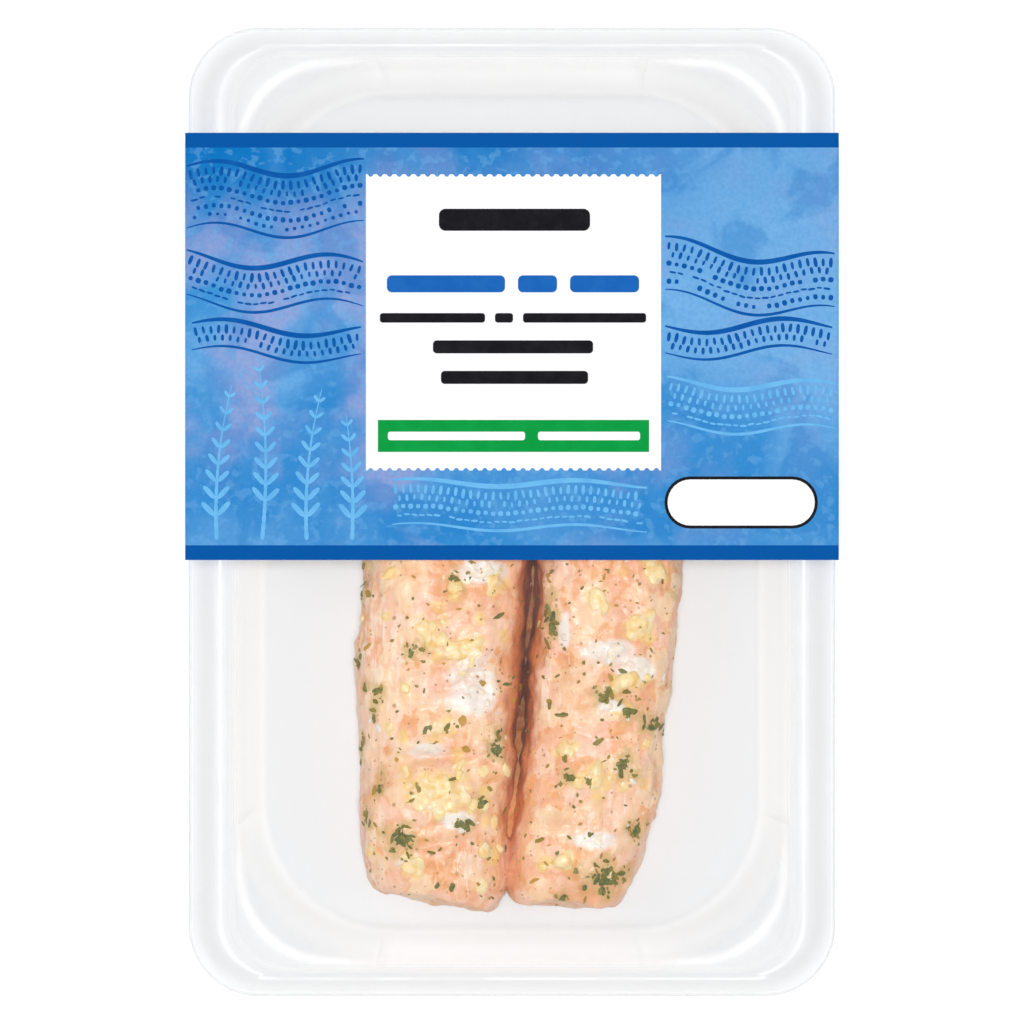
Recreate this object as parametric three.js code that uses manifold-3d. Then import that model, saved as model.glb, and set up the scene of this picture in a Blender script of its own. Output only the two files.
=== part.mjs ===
// A sealed chilled pack: two cooked salmon fillets under lemon and herbs in a clear tray, with a clear
// lid film and a printed card sleeve round the middle. Millimetres, +Z up. The pack lies on its base,
// and the origin is the middle of its underside, with +Y along the fillets.
import * as THREE from 'three';
import { ImprovedNoise } from 'three/addons/math/ImprovedNoise.js';
import { mergeVertices } from 'three/addons/utils/BufferGeometryUtils.js';
import Module from 'manifold-3d';

const wasm = await Module();
wasm.setup();

// Driving dimensions of the pack
const TRAY_WIDTH = 129.6;
const TRAY_LENGTH = 194;
const TRAY_HEIGHT = 29;
const PLASTIC = 0.7;
const FILM = 0.3;
const CARD = 0.4;
const GAP = 0.3;
const EDGE_GAP = 0.15;
const CORNER_STEPS = 8;

// Heights of the layers, from the table up
const TRAY_UNDERSIDE = CARD + GAP;
const FLOOR_TOP = TRAY_UNDERSIDE + PLASTIC;
const FLANGE_TOP = TRAY_UNDERSIDE + TRAY_HEIGHT;
const FILM_UNDERSIDE = FLANGE_TOP + GAP;
const SLEEVE_TOP = FILM_UNDERSIDE + FILM + GAP + CARD;

// Tray: how far in from the rim each line lies, and its corner radius
const RIM_RADIUS = 14;
const SKIRT_DROP = 2.2;
const ROLL = 1.2;
const SEAL_INSET = 5.2;
const SEAL_END_INSET = 3.2;
const SEAL_RISE = 0.5;
const MOUTH_INSET = 9.3;
const MOUTH_END_INSET = 6;
const MOUTH_RADIUS = 11.5;
const MOUTH_LEAN = 0.4;
const LEDGE_DROP = 4;
const WELL_RADIUS = 27;
const FLOOR_INSET = 14.6;
const FLOOR_END_INSET = 12;
const FLOOR_RADIUS = 23;
const FOOT_ROUND = 1.4;

// Sleeve: the stretch of the pack that it covers, and its narrower bottom panel
const SLEEVE_LOW_END = -9.6;
const SLEEVE_HIGH_END = 75.8;
const SLEEVE_BOTTOM_WIDTH = 108;

// Fillets: where each outline runs, from the near end to the far end
const FILLET_SIDES = 30;
const FILLET_RINGS = 38;
const FILLET_BLUNTNESS = 6.5;
const CROWN_POWER = 2.5;
const BELLY_POWER = 3.6;
const WIDEST_AT = 0.42;
const RELIEF = 0.7;
const RELIEF_SIZE = 7;
const FLAKE_PITCH = 8.5;
const FLAKE_RIDGE = 0.3;
const FLAKE_CHEVRON = 0.6;

const LEFT_FILLET = {
  name: 'fillet_left',
  height: 23.6,
  endSlant: -3.2,
  outline: [
    { y: -77.8, left: -29.2, right: -2.4 },
    { y: -66, left: -30.2, right: -0.9 },
    { y: -50, left: -30.1, right: 0.7 },
    { y: -31, left: -31.4, right: 2.2 },
    { y: -15, left: -30.0, right: 3.7 },
    { y: 10, left: -29.0, right: 4.6 },
    { y: 35, left: -27.6, right: 4.8 },
    { y: 57.4, left: -26.4, right: 4.6 },
  ],
  herbPatches: [
    { x: -22.2, y: -65.6, wide: 6, long: 5, count: 9 },
    { x: -6.2, y: -58.8, wide: 3, long: 4, count: 4 },
    { x: -10.6, y: -62.6, wide: 4.4, long: 2, count: 4 },
    { x: -3.2, y: -47.8, wide: 3, long: 6, count: 6 },
    { x: -27.0, y: -36.0, wide: 4, long: 8, count: 5 },
    { x: -20.5, y: -28.0, wide: 5, long: 5, count: 4 },
  ],
  crumbPatches: [
    { x: -15.0, y: -56.0, wide: 14, long: 12, count: 15 },
    { x: -9.0, y: -27.6, wide: 13, long: 6, count: 9 },
    { x: -5.4, y: -68.4, wide: 5, long: 3.4, count: 3 },
    { x: -11.6, y: -15.4, wide: 3, long: 4, count: 3 },
  ],
};

const RIGHT_FILLET = {
  name: 'fillet_right',
  height: 22.8,
  endSlant: -0.8,
  outline: [
    { y: -79.4, left: -1.4, right: 22.6 },
    { y: -66, left: 0.0, right: 26.8 },
    { y: -50, left: 1.7, right: 29.7 },
    { y: -31, left: 3.2, right: 32.3 },
    { y: -15, left: 4.7, right: 33.8 },
    { y: 10, left: 5.6, right: 34.4 },
    { y: 35, left: 5.8, right: 34.0 },
    { y: 58.4, left: 5.6, right: 33.0 },
  ],
  herbPatches: [
    { x: 18.8, y: -73.0, wide: 7.5, long: 6, count: 11 },
    { x: 22.4, y: -50.8, wide: 4.6, long: 6, count: 6 },
    { x: 19.0, y: -37.0, wide: 5, long: 4, count: 5 },
    { x: 9.0, y: -22.6, wide: 4, long: 10, count: 7 },
    { x: 27.4, y: -42.6, wide: 3.6, long: 4, count: 4 },
    { x: 24.8, y: -64.2, wide: 3, long: 3, count: 3 },
  ],
  crumbPatches: [
    { x: 26.4, y: -22.6, wide: 6.4, long: 6, count: 7 },
    { x: 11.4, y: -47.8, wide: 3.6, long: 3, count: 3 },
    { x: 16.8, y: -53.6, wide: 6.4, long: 4, count: 5 },
    { x: 10.2, y: -70.2, wide: 5, long: 2, count: 3 },
  ],
};

// Herb flakes and lemon crumbs: half sizes, and how deep the middle of each is set under the skin
const HERB = { long: 1.25, wide: 0.9, thick: 0.9, depth: 0.4, loose: 16 };
const CRUMB = { long: 1.4, wide: 1.2, thick: 1.2, depth: 0.4, loose: 8 };
const TOPPING_REACH = 0.72;
const END_MARGIN = 6;
const DRAW_SEED = 29;

const MATERIALS = {
  plastic: new THREE.MeshStandardMaterial({
    color: 0xf4f5f4, roughness: 0.12, metalness: 0, transparent: true, opacity: 0.3,
  }),
  film: new THREE.MeshStandardMaterial({
    color: 0xffffff, roughness: 0.05, metalness: 0, transparent: true, opacity: 0.12,
  }),
  card: new THREE.MeshStandardMaterial({ color: 0x4f95d2, roughness: 0.55, metalness: 0 }),
  fishLeft: new THREE.MeshStandardMaterial({ color: 0xf4c49c, roughness: 0.45, metalness: 0 }),
  fishRight: new THREE.MeshStandardMaterial({ color: 0xf2bf98, roughness: 0.45, metalness: 0 }),
};

// A seeded draw, so that the flakes lie in the same places each time
function makeDraw(seed) {
  let state = seed;
  return () => {
    state = (state * 1664525 + 1013904223) % 4294967296;
    return state / 4294967296;
  };
}

// One level round the tray: a rounded rectangle, counterclockwise seen from above
function roundedLoop({ halfWidth, halfLength, radius, z }) {
  const points = [];
  for (let corner = 0; corner < 4; corner += 1) {
    const signX = corner === 0 || corner === 3 ? 1 : -1;
    const signY = corner < 2 ? 1 : -1;
    for (let step = 0; step <= CORNER_STEPS; step += 1) {
      const angle = (corner + step / CORNER_STEPS) * Math.PI / 2;
      const x = signX * (halfWidth - radius) + radius * Math.cos(angle);
      const y = signY * (halfLength - radius) + radius * Math.sin(angle);
      points.push(new THREE.Vector3(x, y, z));
    }
  }
  return points;
}

// A closed skin through a run of loops: the first loop is closed by a face, and so is the last
function skinThroughLoops(loops) {
  const count = loops[0].length;
  const positions = [];
  for (const loop of loops) {
    for (const point of loop) {
      positions.push(point.x, point.y, point.z);
    }
  }
  const index = [];
  for (let ring = 0; ring + 1 < loops.length; ring += 1) {
    for (let i = 0; i < count; i += 1) {
      const next = (i + 1) % count;
      const a = ring * count + i;
      const b = ring * count + next;
      const c = (ring + 1) * count + next;
      const d = (ring + 1) * count + i;
      index.push(a, d, c, a, c, b);
    }
  }
  for (const [ring, turned] of [[0, false], [loops.length - 1, true]]) {
    const middle = positions.length / 3;
    positions.push(0, 0, loops[ring][0].z);
    for (let i = 0; i < count; i += 1) {
      const a = ring * count + i;
      const b = ring * count + (i + 1) % count;
      index.push(middle, turned ? b : a, turned ? a : b);
    }
  }
  const geometry = new THREE.BufferGeometry();
  geometry.setAttribute('position', new THREE.Float32BufferAttribute(positions, 3));
  geometry.setIndex(index);
  return geometry;
}

// One line of the tray's section: its insets from the rim at the sides and the ends, its corner radius
// and height, and where the underside lies from it, outward and down
function trayLine(side, end, radius, z, under) {
  const upper = { halfWidth: TRAY_WIDTH / 2 - side, halfLength: TRAY_LENGTH / 2 - end, radius, z };
  const lower = {
    halfWidth: upper.halfWidth + under.out,
    halfLength: upper.halfLength + under.out,
    radius: radius + under.out,
    z: z - under.down,
  };
  return { upper, lower };
}

// The tray: out over its upper skin from the floor to the rim, and back under its lower skin
function trayGeometry() {
  const ledge = FLANGE_TOP - LEDGE_DROP;
  const low = FLANGE_TOP - SEAL_RISE;
  const lean = MOUTH_LEAN;
  const foot = FOOT_ROUND;
  const under = {
    flat: { out: 0, down: PLASTIC },
    foot: { out: PLASTIC, down: PLASTIC / 2 },
    wall: { out: PLASTIC, down: PLASTIC },
    skirt: { out: -PLASTIC, down: PLASTIC },
    skirtEnd: { out: -PLASTIC, down: 0 },
  };
  const lines = [
    trayLine(FLOOR_INSET + foot, FLOOR_END_INSET + foot, FLOOR_RADIUS - foot, FLOOR_TOP, under.flat),
    trayLine(FLOOR_INSET, FLOOR_END_INSET, FLOOR_RADIUS, FLOOR_TOP + foot, under.foot),
    trayLine(MOUTH_INSET + lean, MOUTH_END_INSET + lean, WELL_RADIUS, ledge, under.wall),
    trayLine(MOUTH_INSET, MOUTH_END_INSET, MOUTH_RADIUS, ledge, under.wall),
    trayLine(MOUTH_INSET - lean, MOUTH_END_INSET - lean, MOUTH_RADIUS, FLANGE_TOP - lean, under.wall),
    trayLine(SEAL_INSET, SEAL_END_INSET, RIM_RADIUS - SEAL_END_INSET, FLANGE_TOP, under.wall),
    trayLine(ROLL, ROLL, RIM_RADIUS - ROLL, low, under.skirt),
    trayLine(0, 0, RIM_RADIUS, low - ROLL, under.skirt),
    trayLine(0, 0, RIM_RADIUS, low - SKIRT_DROP, under.skirtEnd),
  ];
  const upper = lines.map((line) => roundedLoop(line.upper));
  const lower = lines.map((line) => roundedLoop(line.lower)).reverse();
  return skinThroughLoops([...upper, ...lower]);
}

// A flat sheet over the whole flange
function filmGeometry() {
  const inset = EDGE_GAP;
  const edge = {
    halfWidth: TRAY_WIDTH / 2 - inset, halfLength: TRAY_LENGTH / 2 - inset, radius: RIM_RADIUS - inset,
  };
  const top = roundedLoop({ ...edge, z: FILM_UNDERSIDE + FILM });
  const bottom = roundedLoop({ ...edge, z: FILM_UNDERSIDE });
  return skinThroughLoops([top, bottom]);
}

// Moves each side of a convex outline inward by the same distance and meets the sides again
function insetOutline(points, distance) {
  const sides = points.map((start, i) => {
    const end = points[(i + 1) % points.length];
    const along = end.clone().sub(start).normalize();
    const inward = new THREE.Vector2(-along.y, along.x);
    return { start: start.clone().addScaledVector(inward, distance), along };
  });
  return sides.map((side, i) => {
    const before = sides[(i + sides.length - 1) % sides.length];
    const offset = side.start.clone().sub(before.start);
    const reach = offset.cross(side.along) / before.along.clone().cross(side.along);
    return before.start.clone().addScaledVector(before.along, reach);
  });
}

// A closed band of card: flat over the flange, down its edge, and in to the bottom panel
function sleeveGeometry() {
  const half = TRAY_WIDTH / 2 + EDGE_GAP + CARD;
  const bottom = SLEEVE_BOTTOM_WIDTH / 2;
  const shoulder = FLANGE_TOP - SEAL_RISE - SKIRT_DROP;
  const outer = [
    new THREE.Vector2(-bottom, 0),
    new THREE.Vector2(bottom, 0),
    new THREE.Vector2(half, shoulder),
    new THREE.Vector2(half, SLEEVE_TOP),
    new THREE.Vector2(-half, SLEEVE_TOP),
    new THREE.Vector2(-half, shoulder),
  ];
  const band = new THREE.Shape(outer);
  band.holes.push(new THREE.Path(insetOutline(outer, CARD)));
  const depth = SLEEVE_HIGH_END - SLEEVE_LOW_END;
  const geometry = new THREE.ExtrudeGeometry(band, { depth, bevelEnabled: false });
  geometry.rotateX(Math.PI / 2);
  geometry.translate(0, SLEEVE_HIGH_END, 0);
  return geometry;
}

// The fillet's left and right edges and its middle at one place along it
function filletSpan(fillet, y) {
  const { outline } = fillet;
  const last = outline.length - 1;
  let i = 0;
  while (i < last - 1 && y > outline[i + 1].y) {
    i += 1;
  }
  const from = outline[i];
  const to = outline[i + 1];
  const share = THREE.MathUtils.clamp((y - from.y) / (to.y - from.y), 0, 1);
  const eased = THREE.MathUtils.smoothstep(share, 0, 1);
  const left = THREE.MathUtils.lerp(from.left, to.left, eased);
  const right = THREE.MathUtils.lerp(from.right, to.right, eased);
  return { middle: (left + right) / 2, half: (right - left) / 2 };
}

// The fillet's two ends, as its middle and half length along Y
function filletReach(fillet) {
  const near = fillet.outline[0].y;
  const far = fillet.outline[fillet.outline.length - 1].y;
  return { near, far, middle: (near + far) / 2, half: (far - near) / 2 };
}

// How full the section is near the blunt ends
function endFullness(along) {
  const near = Math.min(Math.abs(along), 1);
  return (1 - near ** FILLET_BLUNTNESS) ** (1 / FILLET_BLUNTNESS);
}

const noise = new ImprovedNoise();

// Height of the crags on the skin: soft lumps, and the chevron edges of the muscle layers
function cragAt(fillet, x, y) {
  const { middle } = filletSpan(fillet, y);
  const lump = noise.noise(x / RELIEF_SIZE, y / RELIEF_SIZE, fillet.height);
  const layer = (y + Math.abs(x - middle) * FLAKE_CHEVRON) / FLAKE_PITCH;
  const ridge = Math.abs((layer % 1 + 1) % 1 - 0.5) * 2;
  return RELIEF * lump + FLAKE_RIDGE * ridge;
}

// Height of the upper skin above a point of the outline
function skinHeight(fillet, x, y) {
  const { middle, half } = filletSpan(fillet, y);
  const reach = filletReach(fillet);
  const fullness = endFullness((y - reach.middle) / reach.half);
  const across = Math.min(Math.abs(x - middle) / (half * fullness), 1);
  const crown = (1 - across ** CROWN_POWER) ** (1 / CROWN_POWER);
  const widest = FLOOR_TOP + GAP + fillet.height * WIDEST_AT;
  return widest + fillet.height * (1 - WIDEST_AT) * fullness * crown + cragAt(fillet, x, y);
}

// The fillet's body: a sphere with its poles at the two ends, drawn out to the outline
function filletBody(fillet) {
  const sphere = new THREE.SphereGeometry(1, FILLET_SIDES, FILLET_RINGS);
  sphere.deleteAttribute('normal');
  sphere.deleteAttribute('uv');
  const geometry = mergeVertices(sphere);
  const position = geometry.getAttribute('position');
  const point = new THREE.Vector3();
  const power = (value, exponent) => Math.sign(value) * Math.abs(value) ** exponent;
  const reach = filletReach(fillet);
  for (let i = 0; i < position.count; i += 1) {
    point.fromBufferAttribute(position, i);
    const evenly = 1 - 2 * Math.acos(THREE.MathUtils.clamp(point.y, -1, 1)) / Math.PI;
    const along = 0.6 * evenly + 0.4 * point.y;
    const y = reach.middle + reach.half * along;
    const ring = Math.hypot(point.x, point.z);
    const pole = ring < 1e-5;
    const cos = pole ? 0 : point.x / ring;
    const sin = pole ? 0 : point.z / ring;
    const shape = 2 / (sin > 0 ? CROWN_POWER : BELLY_POWER);
    const fullness = pole ? 0 : endFullness(along);
    const { middle, half } = filletSpan(fillet, y);
    const across = power(cos, shape) * fullness;
    const x = middle + half * across;
    const rise = sin > 0 ? fillet.height * (1 - WIDEST_AT) : fillet.height * WIDEST_AT;
    const relief = cragAt(fillet, x, y) * Math.max(sin, 0) * fullness;
    const z = FLOOR_TOP + GAP + fillet.height * WIDEST_AT + rise * power(sin, shape) * fullness + relief;
    const nearEnd = Math.max(-along, 0) ** 6;
    position.setXYZ(i, x, y + fillet.endSlant * across * nearEnd, z);
  }
  return geometry;
}

function toSolid(geometry) {
  return new wasm.Manifold(new wasm.Mesh({
    numProp: 3,
    vertProperties: new Float32Array(geometry.getAttribute('position').array),
    triVerts: new Uint32Array(geometry.getIndex().array),
  }));
}

function toGeometry(solid) {
  const mesh = solid.getMesh();
  const geometry = new THREE.BufferGeometry();
  geometry.setAttribute('position', new THREE.Float32BufferAttribute(mesh.vertProperties, 3));
  geometry.setIndex(Array.from(mesh.triVerts));
  return geometry;
}

// One flake or crumb lying on the skin, turned at random about the skin's normal
function toppingSolid(fillet, kind, x, y, draw) {
  const step = 0.5;
  const z = skinHeight(fillet, x, y);
  const slopeX = (skinHeight(fillet, x + step, y) - skinHeight(fillet, x - step, y)) / (2 * step);
  const slopeY = (skinHeight(fillet, x, y + step) - skinHeight(fillet, x, y - step)) / (2 * step);
  const normal = new THREE.Vector3(-slopeX, -slopeY, 1).normalize();
  const size = 0.75 + 0.5 * draw();
  const lying = new THREE.Quaternion().setFromUnitVectors(new THREE.Vector3(0, 0, 1), normal);
  const turned = new THREE.Quaternion().setFromAxisAngle(normal, draw() * Math.PI);
  const place = new THREE.Vector3(x, y, z).addScaledVector(normal, -kind.depth);
  const scale = new THREE.Vector3(kind.long * size, kind.wide * size, kind.thick);
  const icosahedron = new THREE.IcosahedronGeometry(1, 0);
  icosahedron.deleteAttribute('normal');
  icosahedron.deleteAttribute('uv');
  const geometry = mergeVertices(icosahedron);
  geometry.applyMatrix4(new THREE.Matrix4().compose(place, turned.multiply(lying), scale));
  return toSolid(geometry);
}

// Places for one kind of topping: the patches first, then loose ones over the whole fillet
function toppingPlaces(fillet, kind, patches, draw) {
  const places = [];
  for (const patch of patches) {
    for (let i = 0; i < patch.count; i += 1) {
      const angle = draw() * Math.PI * 2;
      const reach = Math.sqrt(draw()) / 2;
      const x = patch.x + Math.cos(angle) * reach * patch.wide;
      const y = patch.y + Math.sin(angle) * reach * patch.long;
      places.push([x, y]);
    }
  }
  const { near, far } = filletReach(fillet);
  for (let i = 0; i < kind.loose; i += 1) {
    const y = THREE.MathUtils.lerp(near + END_MARGIN, far - END_MARGIN, draw());
    const { middle, half } = filletSpan(fillet, y);
    places.push([middle + half * TOPPING_REACH * (2 * draw() - 1), y]);
  }
  return places;
}

// The body with its toppings fused to it
function filletGeometry(fillet) {
  const draw = makeDraw(DRAW_SEED + fillet.height * 10);
  let solid = toSolid(filletBody(fillet));
  for (const [kind, patches] of [[HERB, fillet.herbPatches], [CRUMB, fillet.crumbPatches]]) {
    for (const [x, y] of toppingPlaces(fillet, kind, patches, draw)) {
      solid = solid.add(toppingSolid(fillet, kind, x, y, draw));
    }
  }
  return toGeometry(solid);
}

function namedMesh(name, geometry, material) {
  const mesh = new THREE.Mesh(geometry, material);
  mesh.name = name;
  geometry.computeVertexNormals();
  return mesh;
}

const pack = new THREE.Group();
pack.add(namedMesh('tray', trayGeometry(), MATERIALS.plastic));
pack.add(namedMesh('lid_film', filmGeometry(), MATERIALS.film));
pack.add(namedMesh('sleeve', sleeveGeometry(), MATERIALS.card));
pack.add(namedMesh(LEFT_FILLET.name, filletGeometry(LEFT_FILLET), MATERIALS.fishLeft));
pack.add(namedMesh(RIGHT_FILLET.name, filletGeometry(RIGHT_FILLET), MATERIALS.fishRight));

export default pack;
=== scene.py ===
"""A sealed chilled pack of two salmon fillets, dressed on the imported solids.

A clear tray, its lid film, a printed card sleeve and two fillets under lemon crumbs and herb flakes.
Lengths are in millimetres in the classes, and MM turns them into the metres of the frame.
"""
import logging
import math
import random
from collections.abc import Callable
from dataclasses import dataclass, field
from enum import Enum

import bmesh
import bpy
import numpy as np
from mathutils import Matrix, Vector
from mathutils.kdtree import KDTree


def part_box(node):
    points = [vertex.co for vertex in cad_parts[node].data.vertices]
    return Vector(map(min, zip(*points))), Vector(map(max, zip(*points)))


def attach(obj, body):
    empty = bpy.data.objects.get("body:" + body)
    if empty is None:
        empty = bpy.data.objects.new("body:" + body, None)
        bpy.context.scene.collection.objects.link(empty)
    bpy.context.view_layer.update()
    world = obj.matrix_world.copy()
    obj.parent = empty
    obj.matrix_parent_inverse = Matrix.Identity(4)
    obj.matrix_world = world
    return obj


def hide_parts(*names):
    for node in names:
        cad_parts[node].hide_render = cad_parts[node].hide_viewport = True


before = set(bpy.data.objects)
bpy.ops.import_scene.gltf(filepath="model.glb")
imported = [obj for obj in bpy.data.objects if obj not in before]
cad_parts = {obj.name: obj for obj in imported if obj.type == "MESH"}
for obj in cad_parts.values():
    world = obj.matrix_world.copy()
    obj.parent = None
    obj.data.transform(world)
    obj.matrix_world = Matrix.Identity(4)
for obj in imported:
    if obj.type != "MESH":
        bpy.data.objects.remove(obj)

LOG = logging.getLogger("salmon_pack")
MM = 0.001
BODY = "root"
Colour = tuple[float, float, float, float]


def srgb(red: int, green: int, blue: int) -> Colour:
    """Turn a colour as it is seen on screen into the linear colour that a shader takes.

    Args:
        red: The red channel, 0 to 255.
        green: The green channel, 0 to 255.
        blue: The blue channel, 0 to 255.

    Returns:
        The linear red, green and blue, with an alpha of 1.
    """
    linear = []
    for channel in (red, green, blue):
        share = channel / 255
        linear.append(share / 12.92 if share <= 0.04045 else ((share + 0.055) / 1.055) ** 2.4)
    return (linear[0], linear[1], linear[2], 1.0)


class Slot(Enum):
    """The pack's material slots."""

    TRAY = "tray"
    FILM = "lid_film"
    SLEEVE = "sleeve"
    SALMON = "salmon"


# Bench: small helpers for modelling


def clear_selection() -> None:
    """Leave edit mode and select nothing."""
    if bpy.context.object and bpy.context.object.mode != "OBJECT":
        bpy.ops.object.mode_set(mode="OBJECT")
    bpy.ops.object.select_all(action="DESELECT")


def pick(piece: bpy.types.Object) -> None:
    """Select one piece alone and make it the active one."""
    clear_selection()
    piece.select_set(True)
    bpy.context.view_layer.objects.active = piece


def settle(piece: bpy.types.Object, name: str) -> bpy.types.Object:
    """Name a piece and move its place, turn and size into its mesh.

    Args:
        piece: The finished piece.
        name: The name that it keeps.

    Returns:
        The same piece.
    """
    pick(piece)
    bpy.ops.object.transform_apply(location=True, rotation=True, scale=True)
    piece.name = name
    piece.data.name = name
    return piece


def new_object(name: str, data: bpy.types.ID) -> bpy.types.Object:
    """Put a mesh, a lamp or a camera into the scene."""
    made = bpy.data.objects.new(name, data)
    bpy.context.scene.collection.objects.link(made)
    return made


def select_where(piece: bpy.types.Object, kind: str, wanted: Callable, keep: bool = False) -> None:
    """Select the corners, edges or faces that a test picks out, of a piece in edit mode.

    Args:
        piece: The piece.
        kind: Which of them: verts, edges or faces.
        wanted: The test.
        keep: Whether what is selected already stays selected.
    """
    if not keep:
        bpy.ops.mesh.select_all(action="DESELECT")
    mesh = bmesh.from_edit_mesh(piece.data)
    for element in getattr(mesh, kind):
        if wanted(element):
            element.select = True
    bmesh.update_edit_mesh(piece.data)


def apply_modifier(piece: bpy.types.Object, kind: str, **settings: object) -> None:
    """Add a modifier with its settings and apply it at once.

    Args:
        piece: The piece to shape.
        kind: The modifier's type, such as BEVEL.
        **settings: The modifier's properties.
    """
    pick(piece)
    modifier = piece.modifiers.new(kind.title(), kind)
    for key, value in settings.items():
        setattr(modifier, key, value)
    bpy.ops.object.modifier_apply(modifier=modifier.name)


def ruffle(
    piece: bpy.types.Object, kind: str, size: float, height: float, middle: float = 0.5, group: str = "",
) -> None:
    """Raise and sink a piece's skin by a pattern.

    Args:
        piece: The piece.
        kind: The pattern's type.
        size: The size of its lumps, in millimetres.
        height: From the deepest to the highest, in millimetres.
        middle: The pattern's value that leaves the skin where it is.
        group: The vertex group that says how far each place may move, if any.
    """
    pattern = bpy.data.textures.new(f"{piece.name}_{size}", kind)
    pattern.noise_scale = size * MM
    if kind == "VORONOI":
        pattern.weight_1 = -1
        pattern.weight_2 = 1
    apply_modifier(
        piece, "DISPLACE", texture=pattern, texture_coords="LOCAL", direction="NORMAL",
        strength=height * MM, mid_level=middle, vertex_group=group,
    )


def ride_pack(piece: bpy.types.Object, slot: Slot, *nodes: str) -> bpy.types.Object:
    """Hand a finished piece over to the pack's body.

    Args:
        piece: The finished piece.
        slot: Not used.
        *nodes: The solids that it stands for, if any.

    Returns:
        The same piece.
    """
    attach(piece, BODY)
    if nodes:
        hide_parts(*nodes)
    faces = len(piece.data.polygons)
    LOG.info("%s: %d faces", piece.name, faces)
    return piece


def write_attribute(piece: bpy.types.Object, name: str, values: np.ndarray) -> None:
    """Store one number for each vertex of a piece, for its material to read."""
    attribute = piece.data.attributes.new(name, "FLOAT", "POINT")
    attribute.data.foreach_set("value", np.asarray(values, dtype=np.float32))


def vertex_array(piece: bpy.types.Object) -> np.ndarray:
    """Return a piece's vertices as rows of X, Y and Z in metres."""
    flat = np.empty(len(piece.data.vertices) * 3)
    piece.data.vertices.foreach_get("co", flat)
    return flat.reshape(-1, 3)


def search_tree(spots: list[Vector]) -> KDTree:
    """Return a search tree of places, numbered in their order."""
    tree = KDTree(len(spots))
    for index, spot in enumerate(spots):
        tree.insert(spot, index)
    tree.balance()
    return tree


@dataclass(frozen=True)
class Copied:
    """One copy of a small shape: where it goes and its own tone, from 0 to 1."""

    shape: bpy.types.Object
    moved: Matrix
    tone: float = 0.0


def join_copies(name: str, copies: list[Copied]) -> bpy.types.Object:
    """Make one piece of many copies of small shapes, each copy with its own mesh.

    Args:
        name: The piece's name.
        copies: The copies.

    Returns:
        The piece, with every copy's tone on its vertices.
    """
    points, faces, tones = [], [], []
    for copied in copies:
        first = len(points)
        source = copied.shape.data
        points.extend(copied.moved @ vertex.co for vertex in source.vertices)
        faces.extend([first + corner for corner in face.vertices] for face in source.polygons)
        tones.extend([copied.tone] * (len(points) - first))
    mesh = bpy.data.meshes.new(name)
    mesh.from_pydata(points, [], faces)
    piece = new_object(name, mesh)
    write_attribute(piece, "tone", np.array(tones))
    return piece


# Nodes: laying out materials and the groups that they share


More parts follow.
